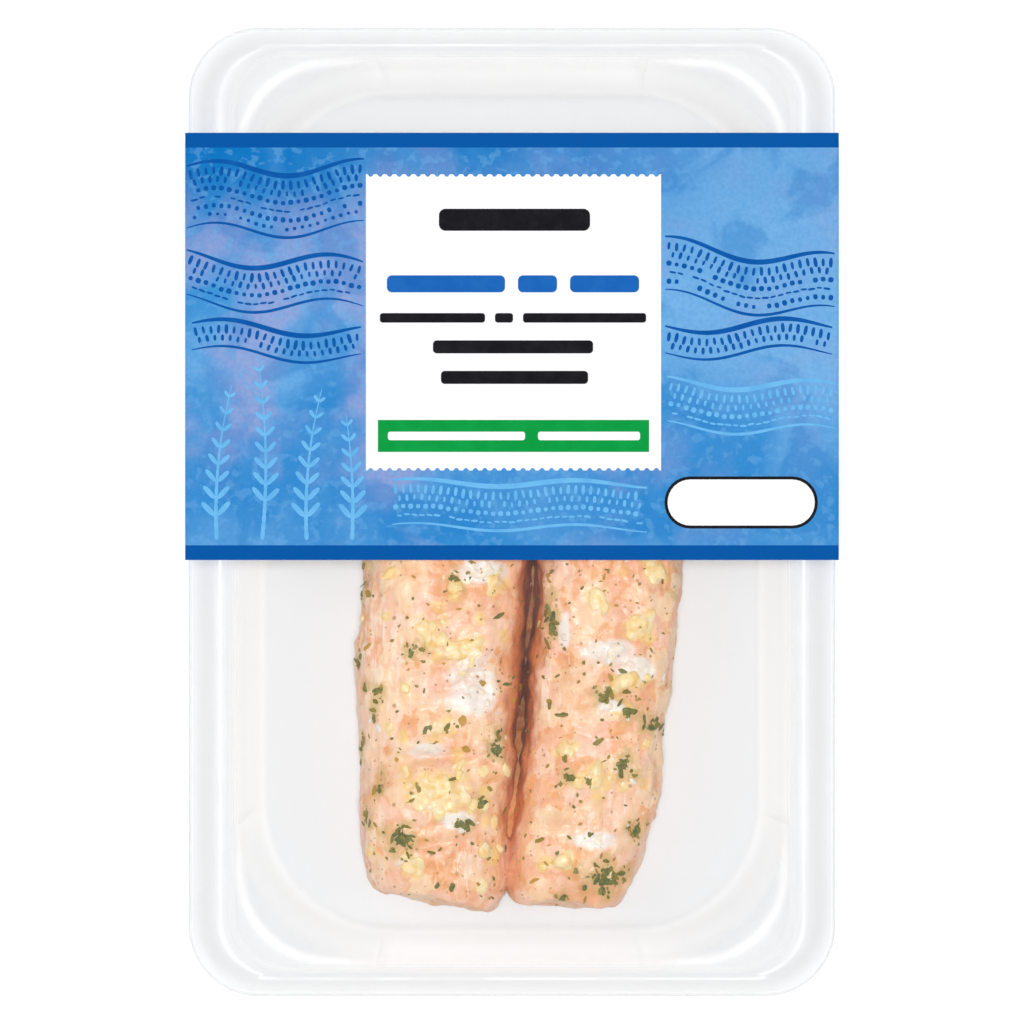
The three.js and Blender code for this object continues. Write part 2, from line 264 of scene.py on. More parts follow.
class NodeSheet:
    """A node tree while it is being laid out."""

    def __init__(self, tree: bpy.types.NodeTree) -> None:
        """Hold the tree that nodes are added to."""
        self.tree = tree

    def add(self, kind: str, values: dict | None = None, **settings: object) -> bpy.types.Node:
        """Add a node, set its properties, and set or feed its inputs.

        Args:
            kind: The node's type name.
            values: What each named or numbered input holds: a plain value, or another node's output.
            **settings: The node's own properties.

        Returns:
            The new node.
        """
        node = self.tree.nodes.new(kind)
        for key, value in settings.items():
            setattr(node, key, value)
        self.fill(node, values or {})
        return node

    def fill(self, node: bpy.types.Node, values: dict) -> None:
        """Set or feed a node's inputs, each by a plain value or by another node's output."""
        for key, value in values.items():
            if isinstance(value, bpy.types.NodeSocket):
                self.tree.links.new(value, node.inputs[key])
            else:
                node.inputs[key].default_value = value

    def math(self, operation: str, *values: object) -> bpy.types.NodeSocket:
        """Return the result of a sum on one, two or three values or sockets."""
        node = self.add("ShaderNodeMath", dict(enumerate(values)), operation=operation)
        return node.outputs[0]

    def times(self, one: object, other: object) -> bpy.types.NodeSocket:
        """Return the product of two values or sockets."""
        return self.math("MULTIPLY", one, other)

    def ramp(
        self, value: object, low: object, high: object, start: float = 0, end: float = 1,
    ) -> bpy.types.NodeSocket:
        """Return a value eased from start, at low, to end, at high.

        Args:
            value: The socket that is mapped.
            low: The value that gives start.
            high: The value that gives end.
            start: The result at low.
            end: The result at high.

        Returns:
            The mapped value.
        """
        node = self.add(
            "ShaderNodeMapRange",
            {"Value": value, "From Min": low, "From Max": high, "To Min": start, "To Max": end},
            interpolation_type="SMOOTHSTEP",
        )
        return node.outputs["Result"]

    def blend(self, share: object, under: object, over: object) -> bpy.types.NodeSocket:
        """Return the colour that lies the given share of the way from under to over."""
        node = self.add("ShaderNodeMix", {0: share, 6: under, 7: over}, data_type="RGBA", blend_type="MIX")
        return node.outputs[2]

    def object_place(self) -> bpy.types.NodeSocket:
        """Return the Object coordinates."""
        return self.add("ShaderNodeTexCoord").outputs["Object"]

    def attribute(self, name: str) -> bpy.types.NodeSocket:
        """Return a number that the mesh holds for each vertex."""
        return self.add("ShaderNodeAttribute", attribute_name=name).outputs["Fac"]

    def noise(self, place: object, scale: object, detail: object, warp: object = 0.0) -> bpy.types.NodeSocket:
        """Return a noise from 0 to 1, with a scale per metre."""
        values = {"Vector": place, "Scale": scale, "Detail": detail, "Distortion": warp}
        return self.add("ShaderNodeTexNoise", values).outputs["Fac"]

    def mapped(self, place: object, **settings: object) -> bpy.types.NodeSocket:
        """Return a place that is moved, turned or stretched by a mapping's settings."""
        values = {key.title(): value for key, value in settings.items()}
        return self.add("ShaderNodeMapping", {"Vector": place, **values}).outputs[0]

    def split(self, place: object) -> bpy.types.NodeOutputs:
        """Return a place's X, Y and Z."""
        return self.add("ShaderNodeSeparateXYZ", {"Vector": place}).outputs

    def group(self, tree: bpy.types.NodeTree, **values: object) -> bpy.types.NodeSocket:
        """Return the result of a shared group, its inputs named in small letters and underscores."""
        inputs = {key.replace("_", " ").title(): value for key, value in values.items()}
        return self.add("ShaderNodeGroup", inputs, node_tree=tree).outputs[0]


class SharedGroups:
    """The effects that several finishes use, each built once."""

    def __init__(self) -> None:
        """Build the groups."""
        self.mottle = self._build_mottle()
        self.specks = self._build_specks()
        self.ragged = self._build_ragged()
        self.outline = self._build_outline()

    @staticmethod
    def _open(
        name: str, result: str = "Mask", **inputs: float,
    ) -> tuple[NodeSheet, bpy.types.NodeOutputs, bpy.types.NodeSocket]:
        """Start a group that reads a place and some numbers and gives one number.

        Args:
            name: The group's name.
            result: The output's name.
            **inputs: Each number's value, named in small letters and underscores.

        Returns:
            The sheet to lay it out on, what it is given, and the socket that takes its result.
        """
        tree = bpy.data.node_groups.new(name, "ShaderNodeTree")
        tree.interface.new_socket("Place", in_out="INPUT", socket_type="NodeSocketVector")
        for key, value in inputs.items():
            label = key.replace("_", " ").title()
            socket = tree.interface.new_socket(label, in_out="INPUT", socket_type="NodeSocketFloat")
            socket.default_value = value
        tree.interface.new_socket(result, in_out="OUTPUT", socket_type="NodeSocketFloat")
        given = tree.nodes.new("NodeGroupInput")
        made = tree.nodes.new("NodeGroupOutput")
        return NodeSheet(tree), given.outputs, made.inputs[0]

    def _build_mottle(self) -> bpy.types.NodeTree:
        """Return soft cloudy patches, between a low and a high level of noise."""
        sheet, given, made = self._open("soft_mottle", scale=100.0, detail=3.0, warp=0.4, low=0.35, high=0.65)
        noise = sheet.noise(given["Place"], given["Scale"], given["Detail"], given["Warp"])
        sheet.tree.links.new(sheet.ramp(noise, given["Low"], given["High"]), made)
        return sheet.tree

    def _build_specks(self) -> bpy.types.NodeTree:
        """Return small scattered specks: a share of the cells of a cell pattern, each a dot of a size."""
        sheet, given, made = self._open("scattered_specks", scale=500.0, size=0.25, share=0.3)
        cells = sheet.add("ShaderNodeTexVoronoi", {"Vector": given["Place"], "Scale": given["Scale"]})
        chosen = sheet.add("ShaderNodeSeparateColor", {"Color": cells.outputs["Color"]})
        kept = sheet.math("LESS_THAN", chosen.outputs["Red"], given["Share"])
        size = sheet.times(given["Size"], chosen.outputs["Green"])
        dot = sheet.math("LESS_THAN", cells.outputs["Distance"], size)
        sheet.tree.links.new(sheet.times(kept, dot), made)
        return sheet.tree

    def _build_ragged(self) -> bpy.types.NodeTree:
        """Return a patch with ragged edges: where an amount, roughened by noise, passes from low to high."""
        sheet, given, made = self._open("ragged_patch", amount=0.0, scale=400.0, rag=1.0, low=0.3, high=0.7)
        noise = sheet.noise(given["Place"], given["Scale"], 6.0, 0.6)
        swing = sheet.times(sheet.math("SUBTRACT", noise, 0.5), given["Rag"])
        roughened = sheet.math("ADD", given["Amount"], swing)
        sheet.tree.links.new(sheet.ramp(roughened, given["Low"], given["High"]), made)
        return sheet.tree

    def _build_outline(self) -> bpy.types.NodeTree:
        """Return how far a place lies outside a rounded line round the pack's middle, in millimetres."""
        sheet, given, made = self._open(
            "rounded_outline", "Distance", half_width=50.0, half_length=80.0, radius=10.0,
        )
        parts = sheet.split(given["Place"])
        squares = []
        for axis, half in (("X", "Half Width"), ("Y", "Half Length")):
            away = sheet.times(sheet.math("ABSOLUTE", parts[axis]), 1 / MM)
            straight = sheet.math("SUBTRACT", given[half], given["Radius"])
            past = sheet.math("MAXIMUM", sheet.math("SUBTRACT", away, straight), 0.0)
            squares.append(sheet.times(past, past))
        reach = sheet.math("SQRT", sheet.math("ADD", *squares))
        sheet.tree.links.new(sheet.math("SUBTRACT", reach, given["Radius"]), made)
        return sheet.tree


def new_material(name: str) -> tuple[bpy.types.Material, NodeSheet, bpy.types.Node]:
    """Start a material that holds one Principled shader.

    Args:
        name: The material's name.

    Returns:
        The material, the sheet to lay its nodes out on, and its shader.
    """
    material = bpy.data.materials.new(name)
    material.use_nodes = True
    shader = material.node_tree.nodes["Principled BSDF"]
    return material, NodeSheet(material.node_tree), shader


def feed(sheet: NodeSheet, shader: bpy.types.Node, **inputs: object) -> None:
    """Set or link a shader's inputs, named in the call with underscores for spaces."""
    sheet.fill(shader, {key.replace("_", " "): value for key, value in inputs.items()})


@dataclass(frozen=True)
class Grain:
    """A surface's fine grain: its scale per metre, its bump, and how far the roughness swings with it."""

    scale: float
    strength: float
    depth: float
    swing: float
    detail: float = 3.0

    def feed(
        self,
        sheet: NodeSheet,
        shader: bpy.types.Node,
        roughness: float,
        fat: bpy.types.NodeSocket | None = None,
        **inputs: object,
    ) -> None:
        """Feed a shader its grain and its other inputs.

        Args:
            sheet: The material's sheet.
            shader: The material's shader.
            roughness: The middle of its roughness.
            fat: Where the surface stands up besides, from 0 to 1, if anywhere.
            **inputs: The shader's other inputs.
        """
        noise = sheet.noise(sheet.object_place(), self.scale, self.detail)
        height = noise if fat is None else sheet.math("ADD", noise, sheet.times(fat, 0.4))
        bump = sheet.add(
            "ShaderNodeBump", {"Height": height, "Strength": self.strength, "Distance": self.depth * MM},
        )
        feed(
            sheet, shader,
            Roughness=sheet.ramp(noise, 0.3, 0.7, roughness - self.swing, roughness + self.swing),
            Normal=bump.outputs["Normal"],
            **inputs,
        )


CARD_FIBRE = Grain(2200.0, 0.08, 0.05, 0.04)
FLESH_GRAIN = Grain(900.0, 0.4, 0.4, 0.1, 4.0)
TOPPING_GRAIN = Grain(2300.0, 0.3, 0.15, 0.08)


@dataclass(frozen=True)
class Thread:
    """A thin thread of painted light or shade along a bend in the plastic: its rounded line, place and width.
    """

    half_width: float
    half_length: float
    radius: float
    width: float
    strength: float
    pale: bool


@dataclass(frozen=True)
class ClearPlastic:
    """Thin clear plastic: a faint grey body with a gloss, and painted threads of light and shade along its
    bends.
    """

    name: str
    body: Colour
    opacity: float
    steep_opacity: float
    roughness: float
    shine: float = 0.2
    # pale paints the highlight threads and dark paints the shade threads.
    pale: Colour = srgb(255, 255, 255)
    dark: Colour = srgb(162, 167, 171)

    def build(self, groups: SharedGroups, threads: list[Thread]) -> bpy.types.Material:
        """Return the material.

        Args:
            groups: The shared effects.
            threads: The bends that get painted threads of light and shade.

        Returns:
            The material.
        """
        material, sheet, shader = new_material(self.name)
        place = sheet.object_place()
        cloud = sheet.group(groups.mottle, place=place, scale=90.0, low=0.3, high=0.7)
        turned = sheet.add("ShaderNodeLayerWeight", {"Blend": 0.5}).outputs["Facing"]
        alpha = sheet.ramp(turned, 0.25, 1.0, self.opacity, self.steep_opacity)
        colour = self.body
        # Each thread paints a highlight or a shade line: paler or darker, and more opaque.
        for thread in threads:
            line = sheet.group(
                groups.outline, place=place, half_width=thread.half_width,
                half_length=thread.half_length, radius=thread.radius,
            )
            off = sheet.math("ABSOLUTE", line)
            mask = sheet.ramp(off, thread.width, 0.0)
            colour = sheet.blend(mask, colour, self.pale if thread.pale else self.dark)
            alpha = sheet.math("MULTIPLY_ADD", mask, thread.strength, alpha)
        feed(
            sheet, shader,
            Base_Color=colour,
            Roughness=sheet.ramp(cloud, 0, 1, self.roughness * 0.7, self.roughness * 1.3),
            Alpha=alpha,
            Specular_IOR_Level=self.shine,
        )
        return material


@dataclass(frozen=True)
class SealedFilm:
    """Clear lid film, whiter where welded down along the long sides of the tray's mouth as a painted
    highlight, with a painted reflection on one corner.
    """

    name: str = "clear_film"
    body: Colour = srgb(250, 251, 252)
    opacity: float = 0.012
    steep_opacity: float = 0.06
    # The weld band's whiteness is a painted highlight, full along the long sides and gone before the ends.
    weld_highlight_opacity: float = 0.03
    highlight_soft: float = 0.35
    highlight_full: float = 78.0
    highlight_end: float = 92.5
    # The sheen is a painted reflection: a whiter patch on one corner of the flange.
    sheen_opacity: float = 0.15
    sheen_middle: tuple[float, float, float] = (-49.5, 88.5, 0.0)
    sheen_full: float = 6.0
    sheen_end: float = 26.0
    roughness: float = 0.18

    def build(self, groups: SharedGroups, mouth: "Level", weld_width: float) -> bpy.types.Material:
        """Return the material.

        Args:
            groups: The shared effects.
            mouth: The line of the tray's mouth.
            weld_width: How wide the weld is, in millimetres, and so the band of painted highlight.

        Returns:
            The material.
        """
        material, sheet, shader = new_material(self.name)
        place = sheet.object_place()
        line = sheet.group(
            groups.outline, place=place, half_width=mouth.half_width,
            half_length=mouth.half_length, radius=mouth.radius,
        )
        # Painted highlight: over the weld band the film turns whiter and more opaque, along the long sides
        # only.
        inside = sheet.times(
            sheet.ramp(line, 0.0, self.highlight_soft), sheet.ramp(line, weld_width, weld_width - self.highlight_soft),
        )
        along = sheet.math("ABSOLUTE", sheet.split(place)["Y"])
        weld = sheet.times(
            inside, sheet.ramp(along, self.highlight_end * MM, self.highlight_full * MM, 0.0, self.weld_highlight_opacity),
        )
        # Painted reflection: the film turns whiter and more opaque near one corner, outside the mouth.
        corner = sheet.mapped(place, location=-Vector(self.sheen_middle) * MM)
        near = sheet.add("ShaderNodeVectorMath", {0: corner}, operation="LENGTH").outputs["Value"]
        sheen = sheet.times(
            sheet.ramp(line, 0.3, 1.2),
            sheet.ramp(near, self.sheen_end * MM, self.sheen_full * MM, 0.0, self.sheen_opacity),
        )
        turned = sheet.add("ShaderNodeLayerWeight", {"Blend": 0.5}).outputs["Facing"]
        alpha = sheet.ramp(turned, 0.25, 1.0, self.opacity, self.steep_opacity)
        cloud = sheet.group(groups.mottle, place=place, scale=120.0, low=0.3, high=0.7)
        feed(
            sheet, shader,
            Base_Color=self.body,
            Roughness=sheet.ramp(cloud, 0, 1, self.roughness * 0.8, self.roughness * 1.2),
            Alpha=sheet.math("ADD", alpha, sheet.math("MAXIMUM", weld, sheen)),
            Specular_IOR_Level=0.2,
        )
        return material


@dataclass(frozen=True)
class WashedPrint:
    """Coated card printed with a grainy blue wash, and a darker band along its two open ends."""

    name: str = "blue_wash_print"
    cobalt: Colour = srgb(0, 114, 189)
    deep: Colour = srgb(28, 124, 198)
    middle: Colour = srgb(64, 146, 211)
    light: Colour = srgb(108, 172, 226)
    violet: Colour = srgb(150, 164, 214)
    pale: Colour = srgb(128, 184, 232)
    band: Colour = srgb(0, 86, 164)
    band_depth: float = 2.95
    near_end: float = -9.6
    far_end: float = 75.8

    def build(self, groups: SharedGroups) -> bpy.types.Material:
        """Return the material."""
        material, sheet, shader = new_material(self.name)
        place = sheet.object_place()
        parts = sheet.split(place)
        across, along = parts["X"], parts["Y"]
        shifted = sheet.mapped(place, location=(0.11, 0.037, 0.0))
        wide = sheet.group(groups.mottle, place=place, scale=30.0, detail=9.0, warp=0.5, low=0.38, high=0.62)
        tint = sheet.group(groups.mottle, place=shifted, scale=40.0, detail=9.0, warp=0.4, low=0.47, high=0.6)
        pool = sheet.group(groups.mottle, place=shifted, scale=62.0, detail=10.0, warp=0.6, low=0.5, high=0.6)
        sponge = sheet.group(
            groups.mottle, place=place, scale=420.0, detail=10.0, warp=0.2, low=0.52, high=0.62,
        )
        grain = sheet.group(groups.mottle, place=place, scale=1300.0, detail=4.0, warp=0.1, low=0.3, high=0.7)
        colour = sheet.blend(wide, self.middle, self.light)
        bright = sheet.times(sheet.ramp(across, 0.01, 0.045), sheet.ramp(along, 0.012, 0.034, 0, 0.75))
        colour = sheet.blend(bright, colour, self.pale)
        shaded = sheet.ramp(along, 0.03, 0.004, 0.0, 0.4)
        colour = sheet.blend(shaded, colour, self.deep)
        lavender = sheet.times(tint, sheet.ramp(across, 0.055, -0.03, 0.25, 0.85))
        colour = sheet.blend(lavender, colour, self.violet)
        colour = sheet.blend(sheet.times(pool, 0.45), colour, self.deep)
        wash = sheet.times(sheet.ramp(along, 0.05, 0.073), sheet.ramp(across, 0.045, -0.02, 0.15, 1.0))
        wash = sheet.times(wash, sheet.ramp(wide, 0.0, 1.0, 1.0, 0.6))
        colour = sheet.blend(wash, colour, self.cobalt)
        colour = sheet.blend(sheet.times(sponge, 0.4), colour, self.light)
        colour = sheet.blend(sheet.times(grain, 0.2), colour, self.deep)
        low_band = sheet.math("LESS_THAN", along, (self.near_end + self.band_depth) * MM)
        high_band = sheet.math("GREATER_THAN", along, (self.far_end - self.band_depth) * MM)
        colour = sheet.blend(sheet.math("MAXIMUM", low_band, high_band), colour, self.band)
        CARD_FIBRE.feed(sheet, shader, 0.6, Base_Color=colour, Specular_IOR_Level=0.03)
        return material


@dataclass(frozen=True)
class CardInk:
    """Plain card or one flat ink on it, with the card's fibre just showing."""

    name: str
    ink: Colour
    worn: Colour
    roughness: float = 0.6

    def build(self, groups: SharedGroups) -> bpy.types.Material:
        """Return the material."""
        material, sheet, shader = new_material(self.name)
        place = sheet.object_place()
        patch = sheet.group(groups.mottle, place=place, scale=300.0, detail=4.0, low=0.3, high=0.8)
        colour = sheet.blend(patch, self.ink, self.worn)
        CARD_FIBRE.feed(sheet, shader, self.roughness, Base_Color=colour, Specular_IOR_Level=0.03)
        return material


@dataclass(frozen=True)
class SalmonFlesh:
    """Moist cooked salmon: peach and pink chunks, pale fat, lemon glaze, white sauce, herb juice, painted
    light and shade.
    """

    name: str = "salmon_flesh"
    pink: Colour = srgb(245, 181, 142)
    peach: Colour = srgb(241, 170, 110)
    cream: Colour = srgb(252, 216, 176)
    blush: Colour = srgb(252, 204, 178)
    fat: Colour = srgb(253, 232, 212)
    lemon: Colour = srgb(249, 208, 130)
    sauce: Colour = srgb(247, 244, 238)
    stain_and_shade: Colour = srgb(212, 178, 112)
    crease: Colour = srgb(222, 142, 84)
    # The next two tones paint the shade deep in the groove between the fillets.
    amber: Colour = srgb(206, 108, 38)
    groove_deep_shade: Colour = srgb(142, 66, 18)
    speck: Colour = srgb(150, 104, 40)

    def build(self, groups: SharedGroups) -> bpy.types.Material:
        """Return the material."""
        material, sheet, shader = new_material(self.name)
        place = sheet.object_place()
        relief = sheet.attribute("relief")
        fat, colour = self._chunks(sheet, groups, place)
        # Painted light on the relief: the raised lumps turn lighter cream.
        colour = sheet.blend(sheet.ramp(relief, 0.0, 1.2, 0, 0.3), colour, self.cream)
        # Near the herbs the flesh takes a brownish tone: herb stain and painted shade under them.
        for zone, size, rag, low, high, share, tint in (
            ("herb", 800.0, 1.3, 0.25, 0.85, 0.7, self.stain_and_shade),
            ("lemon", 420.0, 1.0, 0.2, 0.75, 0.85, self.lemon),
            ("curd", 300.0, 1.2, 0.3, 0.85, 0.85, self.sauce),
        ):
            amount = sheet.attribute(zone)
            patch = sheet.group(
                groups.ragged, place=place, amount=amount, scale=size, rag=rag, low=low, high=high,
            )
            colour = sheet.blend(sheet.times(patch, share), colour, tint)
        # Painted shade on the relief: where it sinks the flesh turns a deeper orange.
        colour = sheet.blend(sheet.ramp(relief, 0.0, -1.2, 0, 0.5), colour, self.crease)
        # Painted shade: the flesh turns amber, then deep brown, the deeper it lies in the groove.
        groove = sheet.attribute("groove")
        colour = sheet.blend(sheet.ramp(groove, 0.0, 0.45, 0, 0.85), colour, self.amber)
        colour = sheet.blend(sheet.ramp(groove, 0.35, 0.9, 0, 0.95), colour, self.groove_deep_shade)
        for size, share in ((800.0, 0.12), (1300.0, 0.12)):
            specks = sheet.group(groups.specks, place=place, scale=size, size=0.36, share=share)
            colour = sheet.blend(sheet.times(specks, 0.6), colour, self.speck)
        FLESH_GRAIN.feed(
            sheet, shader, 0.4, fat,
            Base_Color=colour,
            Subsurface_Weight=0.15,
            Subsurface_Radius=(2.0 * MM, 1.0 * MM, 0.5 * MM),
            Subsurface_Scale=1.0,
        )
        return material

    def _chunks(
        self, sheet: NodeSheet, groups: SharedGroups, place: bpy.types.NodeSocket,
    ) -> tuple[bpy.types.NodeSocket, bpy.types.NodeSocket]:
        """Lay out the bare flesh: patches, flaky chunks, and pale fat between them.

        Args:
            sheet: The material's sheet.
            groups: The shared effects.
            place: The Object coordinates.

        Returns:
            Where the fat lies, and the flesh's colour.
        """
        patch = sheet.group(groups.mottle, place=place, scale=210.0, detail=4.0, warp=0.8, low=0.4, high=0.6)
        colour = sheet.blend(patch, self.pink, self.peach)
        wander = sheet.add("ShaderNodeTexNoise", {"Vector": place, "Scale": 330.0, "Detail": 3.0})
        drift = sheet.add(
            "ShaderNodeVectorMath",
            {0: wander.outputs["Color"], 1: (4.5 * MM,) * 3, 2: place},
            operation="MULTIPLY_ADD",
        ).outputs[0]
        cells = sheet.add(
            "ShaderNodeTexVoronoi",
            {"Vector": drift, "Scale": 210.0, "Smoothness": 0.35},
            feature="SMOOTH_F1",
        )
        tones = sheet.add("ShaderNodeSeparateColor", {"Color": cells.outputs["Color"]})
        colour = sheet.blend(sheet.ramp(tones.outputs["Red"], 0.35, 0.75, 0, 0.8), colour, self.cream)
        colour = sheet.blend(sheet.ramp(tones.outputs["Green"], 0.6, 0.85, 0, 0.8), colour, self.blush)
        film = sheet.group(groups.mottle, place=place, scale=260.0, detail=6.0, warp=1.0, low=0.5, high=0.66)
        colour = sheet.blend(sheet.times(film, 0.5), colour, self.cream)
        slant = sheet.mapped(place, rotation=(0, 0, math.radians(38)), scale=(1.0, 0.25, 1.0))
        layer = sheet.group(
            groups.mottle, place=slant, scale=430.0, detail=4.0, warp=1.4, low=0.51, high=0.62,
        )
        slanted = sheet.times(layer, sheet.attribute("streak"))
        fibres = sheet.mapped(place, scale=(1.0, 0.12, 1.0))
        strand = sheet.group(
            groups.mottle, place=fibres, scale=760.0, detail=3.0, warp=0.7, low=0.48, high=0.62,
        )
        stranded = sheet.times(strand, sheet.attribute("flank"))
        fat = sheet.math("MAXIMUM", slanted, stranded)
        return fat, sheet.blend(sheet.times(fat, 0.7), colour, self.fat)


@dataclass(frozen=True)
class ToppingSkin:
    """The skin of a topping, its colour drawn out between four tones by its own number."""

    name: str
    tones: tuple[Colour, Colour, Colour, Colour]
    roughness: float
    glow: float
    dab: Colour
    dab_share: float = 0.3
    patch_scale: float = 700.0

    def build(self, groups: SharedGroups) -> bpy.types.Material:
        """Return the material."""
        material, sheet, shader = new_material(self.name)
        place = sheet.object_place()
        tone = sheet.attribute("tone")
        colour = self.tones[0]
        for step, next_tone in enumerate(self.tones[1:]):
            colour = sheet.blend(sheet.ramp(tone, step / 3, (step + 1) / 3), colour, next_tone)
        patch = sheet.group(
            groups.mottle, place=place, scale=self.patch_scale, detail=4.0, low=0.4, high=0.65,
        )
        colour = sheet.blend(sheet.times(patch, self.dab_share), colour, self.dab)
        TOPPING_GRAIN.feed(
            sheet, shader, self.roughness,
            Base_Color=colour,
            Subsurface_Weight=self.glow,
            Subsurface_Radius=(1.4 * MM, 0.9 * MM, 0.4 * MM),
            Subsurface_Scale=1.0,
        )
        return material


@dataclass(frozen=True)
class StudioPaper:
    """The plain pale floor, with a very faint grain."""

    name: str = "studio_paper"
    white: Colour = srgb(252, 252, 252)
    own_light: float = 0.12

    def build(self, groups: SharedGroups) -> bpy.types.Material:
        """Return the material."""
        material, sheet, shader = new_material(self.name)
        grain = sheet.group(groups.mottle, place=sheet.object_place(), scale=40.0, low=0.2, high=0.8)
        feed(
            sheet, shader,
            Base_Color=self.white,
            Roughness=sheet.ramp(grain, 0, 1, 0.85, 0.95),
            Specular_IOR_Level=0.2,
            Emission_Color=(1, 1, 1, 1),
            Emission_Strength=self.own_light,
        )
        return material


# The tray and its film


@dataclass(frozen=True)
class Level:
    """One rounded line round the tray: half sizes, corner radius and height, in millimetres."""

    half_width: float
    half_length: float
    radius: float
    height: float

    def carried_to(self, other: "Level", place: Vector) -> Vector:
        """Return the place on another line that answers to a place on this one, in metres."""
        carried = []
        for value, here, there in (
            (place.x / MM, self.half_width, other.half_width),
            (place.y / MM, self.half_length, other.half_length),
        ):
            share = (abs(value) - (here - self.radius)) / self.radius
            carried.append(math.copysign(there - other.radius + other.radius * max(share, 0.0), value))
        return Vector((carried[0], carried[1], other.height)) * MM


def skin_through(levels: list[Level], corner_steps: int) -> bpy.types.Object:
    """Model an open sheet through nested rounded lines, closed inside the first one.

    The first line is a plane with its corners bevelled round. Its edge is then extruded from line to line.

    Args:
        levels: The lines, from the middle outward.
        corner_steps: How many segments each corner has.

    Returns:
        The sheet, with its normals up and outward.
    """
    first = levels[0]
    middle = (0, 0, first.height * MM)
    clear_selection()
    bpy.ops.mesh.primitive_plane_add(size=2 * MM, location=middle)
    sheet = bpy.context.object
    settle(sheet, "sheet")
    bpy.ops.object.mode_set(mode="EDIT")
    bpy.ops.mesh.select_mode(type="EDGE")
    bpy.ops.transform.resize(value=(first.half_width, first.half_length, 1), center_override=middle)
    bpy.ops.mesh.bevel(affect="VERTICES", offset=first.radius * MM, segments=corner_steps, profile=0.5)
    for before, level in zip(levels, levels[1:]):
        select_where(sheet, "edges", lambda edge: edge.is_boundary)
        bpy.ops.mesh.extrude_edges_move()
        mesh = bmesh.from_edit_mesh(sheet.data)
        for vertex in mesh.verts:
            if vertex.select:
                vertex.co = before.carried_to(level, vertex.co)
        bmesh.update_edit_mesh(sheet.data)
    bpy.ops.mesh.select_all(action="SELECT")
    bpy.ops.mesh.normals_make_consistent(inside=False)
    bpy.ops.mesh.select_mode(type="VERT")
    bpy.ops.object.mode_set(mode="OBJECT")
    return sheet


@dataclass
class ClearTray:
    """The thermoformed tray: floor, tapered well, corner ledges, seal band and rolled rim."""

    finish: ClearPlastic
    plastic: float = 0.7
    floor_side: float = 14.6
    floor_end: float = 12.0
    floor_radius: float = 26.0
    foot_round: float = 1.4
    ledge_drop: float = 4.0
    ledge_lean: float = 0.4
    mouth_side: float = 9.3
    mouth_end: float = 6.0
    mouth_radius: float = 11.5
    well_radius: float = 30.0
    seal_side: float = 5.2
    seal_end: float = 3.2
    rim_radius: float = 14.0
    seal_rise: float = 0.5
    roll: float = 1.2
    skirt: float = 2.2
    corner_steps: int = 20

    def _levels(self) -> list[Level]:
        """Return the lines of the tray's upper skin, from the floor out to the rim."""
        low, high = (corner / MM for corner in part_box("tray"))
        top = high.z
        floor = low.z + self.plastic
        ledge = top - self.ledge_drop
        shoulder = top - self.seal_rise
        foot = self.foot_round
        lean = self.ledge_lean
        curl = self.roll * 0.3

        def line(side: float, end: float, radius: float, height: float) -> Level:
            """Return a line by its insets from the rim."""
            return Level(high.x - side, high.y - end, radius, height)

        return [
            line(self.floor_side + foot, self.floor_end + foot, self.floor_radius - foot, floor),
            line(
                self.floor_side + foot * 0.3, self.floor_end + foot * 0.3,
                self.floor_radius - foot * 0.3, floor + foot * 0.3,
            ),
            line(self.floor_side, self.floor_end, self.floor_radius, floor + foot),
            line(self.mouth_side + lean, self.mouth_end + lean, self.well_radius, ledge - 0.5),
            line(self.mouth_side + lean * 0.4, self.mouth_end + lean * 0.4, self.mouth_radius + 9, ledge),
            line(self.mouth_side, self.mouth_end, self.mouth_radius, ledge + 0.1),
            line(self.mouth_side - lean * 0.5, self.mouth_end - lean * 0.5, self.mouth_radius, ledge + 0.7),
            line(self.mouth_side - lean * 1.5, self.mouth_end - lean * 1.5, self.mouth_radius, top - 0.6),
            line(self.mouth_side - lean * 3, self.mouth_end - lean * 3, self.mouth_radius + 0.5, top - 0.18),
            line(self.seal_side, self.seal_end, self.rim_radius - self.seal_end, top),
            line(self.seal_side - 0.6, self.seal_end - 0.3, self.rim_radius - self.seal_end, top - 0.3),
            line(self.roll, self.roll, self.rim_radius - self.roll, shoulder),
            line(curl, curl, self.rim_radius - curl, shoulder - curl),
            line(0, 0, self.rim_radius, shoulder - self.roll),
            line(0, 0, self.rim_radius, shoulder - self.skirt),
        ]

    def mouth(self) -> Level:
        """Return the line of the well's mouth."""
        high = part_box("tray")[1] / MM
        return Level(high.x - self.mouth_side, high.y - self.mouth_end, self.mouth_radius, high.z)

    def _threads(self) -> list[Thread]:
        """Return the bends that get painted threads of light and shade."""
        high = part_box("tray")[1] / MM
        threads = []
        for side, end, radius, width, strength, pale in (
            (self.mouth_side + 0.9, self.mouth_end + 0.9, 18.0, 1.8, 0.035, True),
            (self.mouth_side + 3.0, self.floor_end - 1.0, self.floor_radius, 3.4, 0.03, False),
            (2.8, 2.2, self.rim_radius, 3.0, 0.018, False),
            (0.2, 0.2, self.rim_radius, 0.5, 0.12, False),
        ):
            threads.append(Thread(high.x - side, high.y - end, radius, width, strength, pale))
        return threads

    def build(self, groups: SharedGroups) -> bpy.types.Object:
        """Model and dress the tray."""
        tray = skin_through(self._levels(), self.corner_steps)
        apply_modifier(tray, "SOLIDIFY", thickness=self.plastic * MM, offset=-1.0, use_even_offset=True)
        apply_modifier(
            tray, "BEVEL", width=0.18 * MM, segments=2, limit_method="ANGLE", angle_limit=math.radians(40),
        )
        settle(tray, "clear_tray")
        bpy.ops.object.shade_smooth_by_angle(angle=math.radians(50))
        tray.data.materials.append(self.finish.build(groups, self._threads()))
        return ride_pack(tray, Slot.TRAY, "tray")


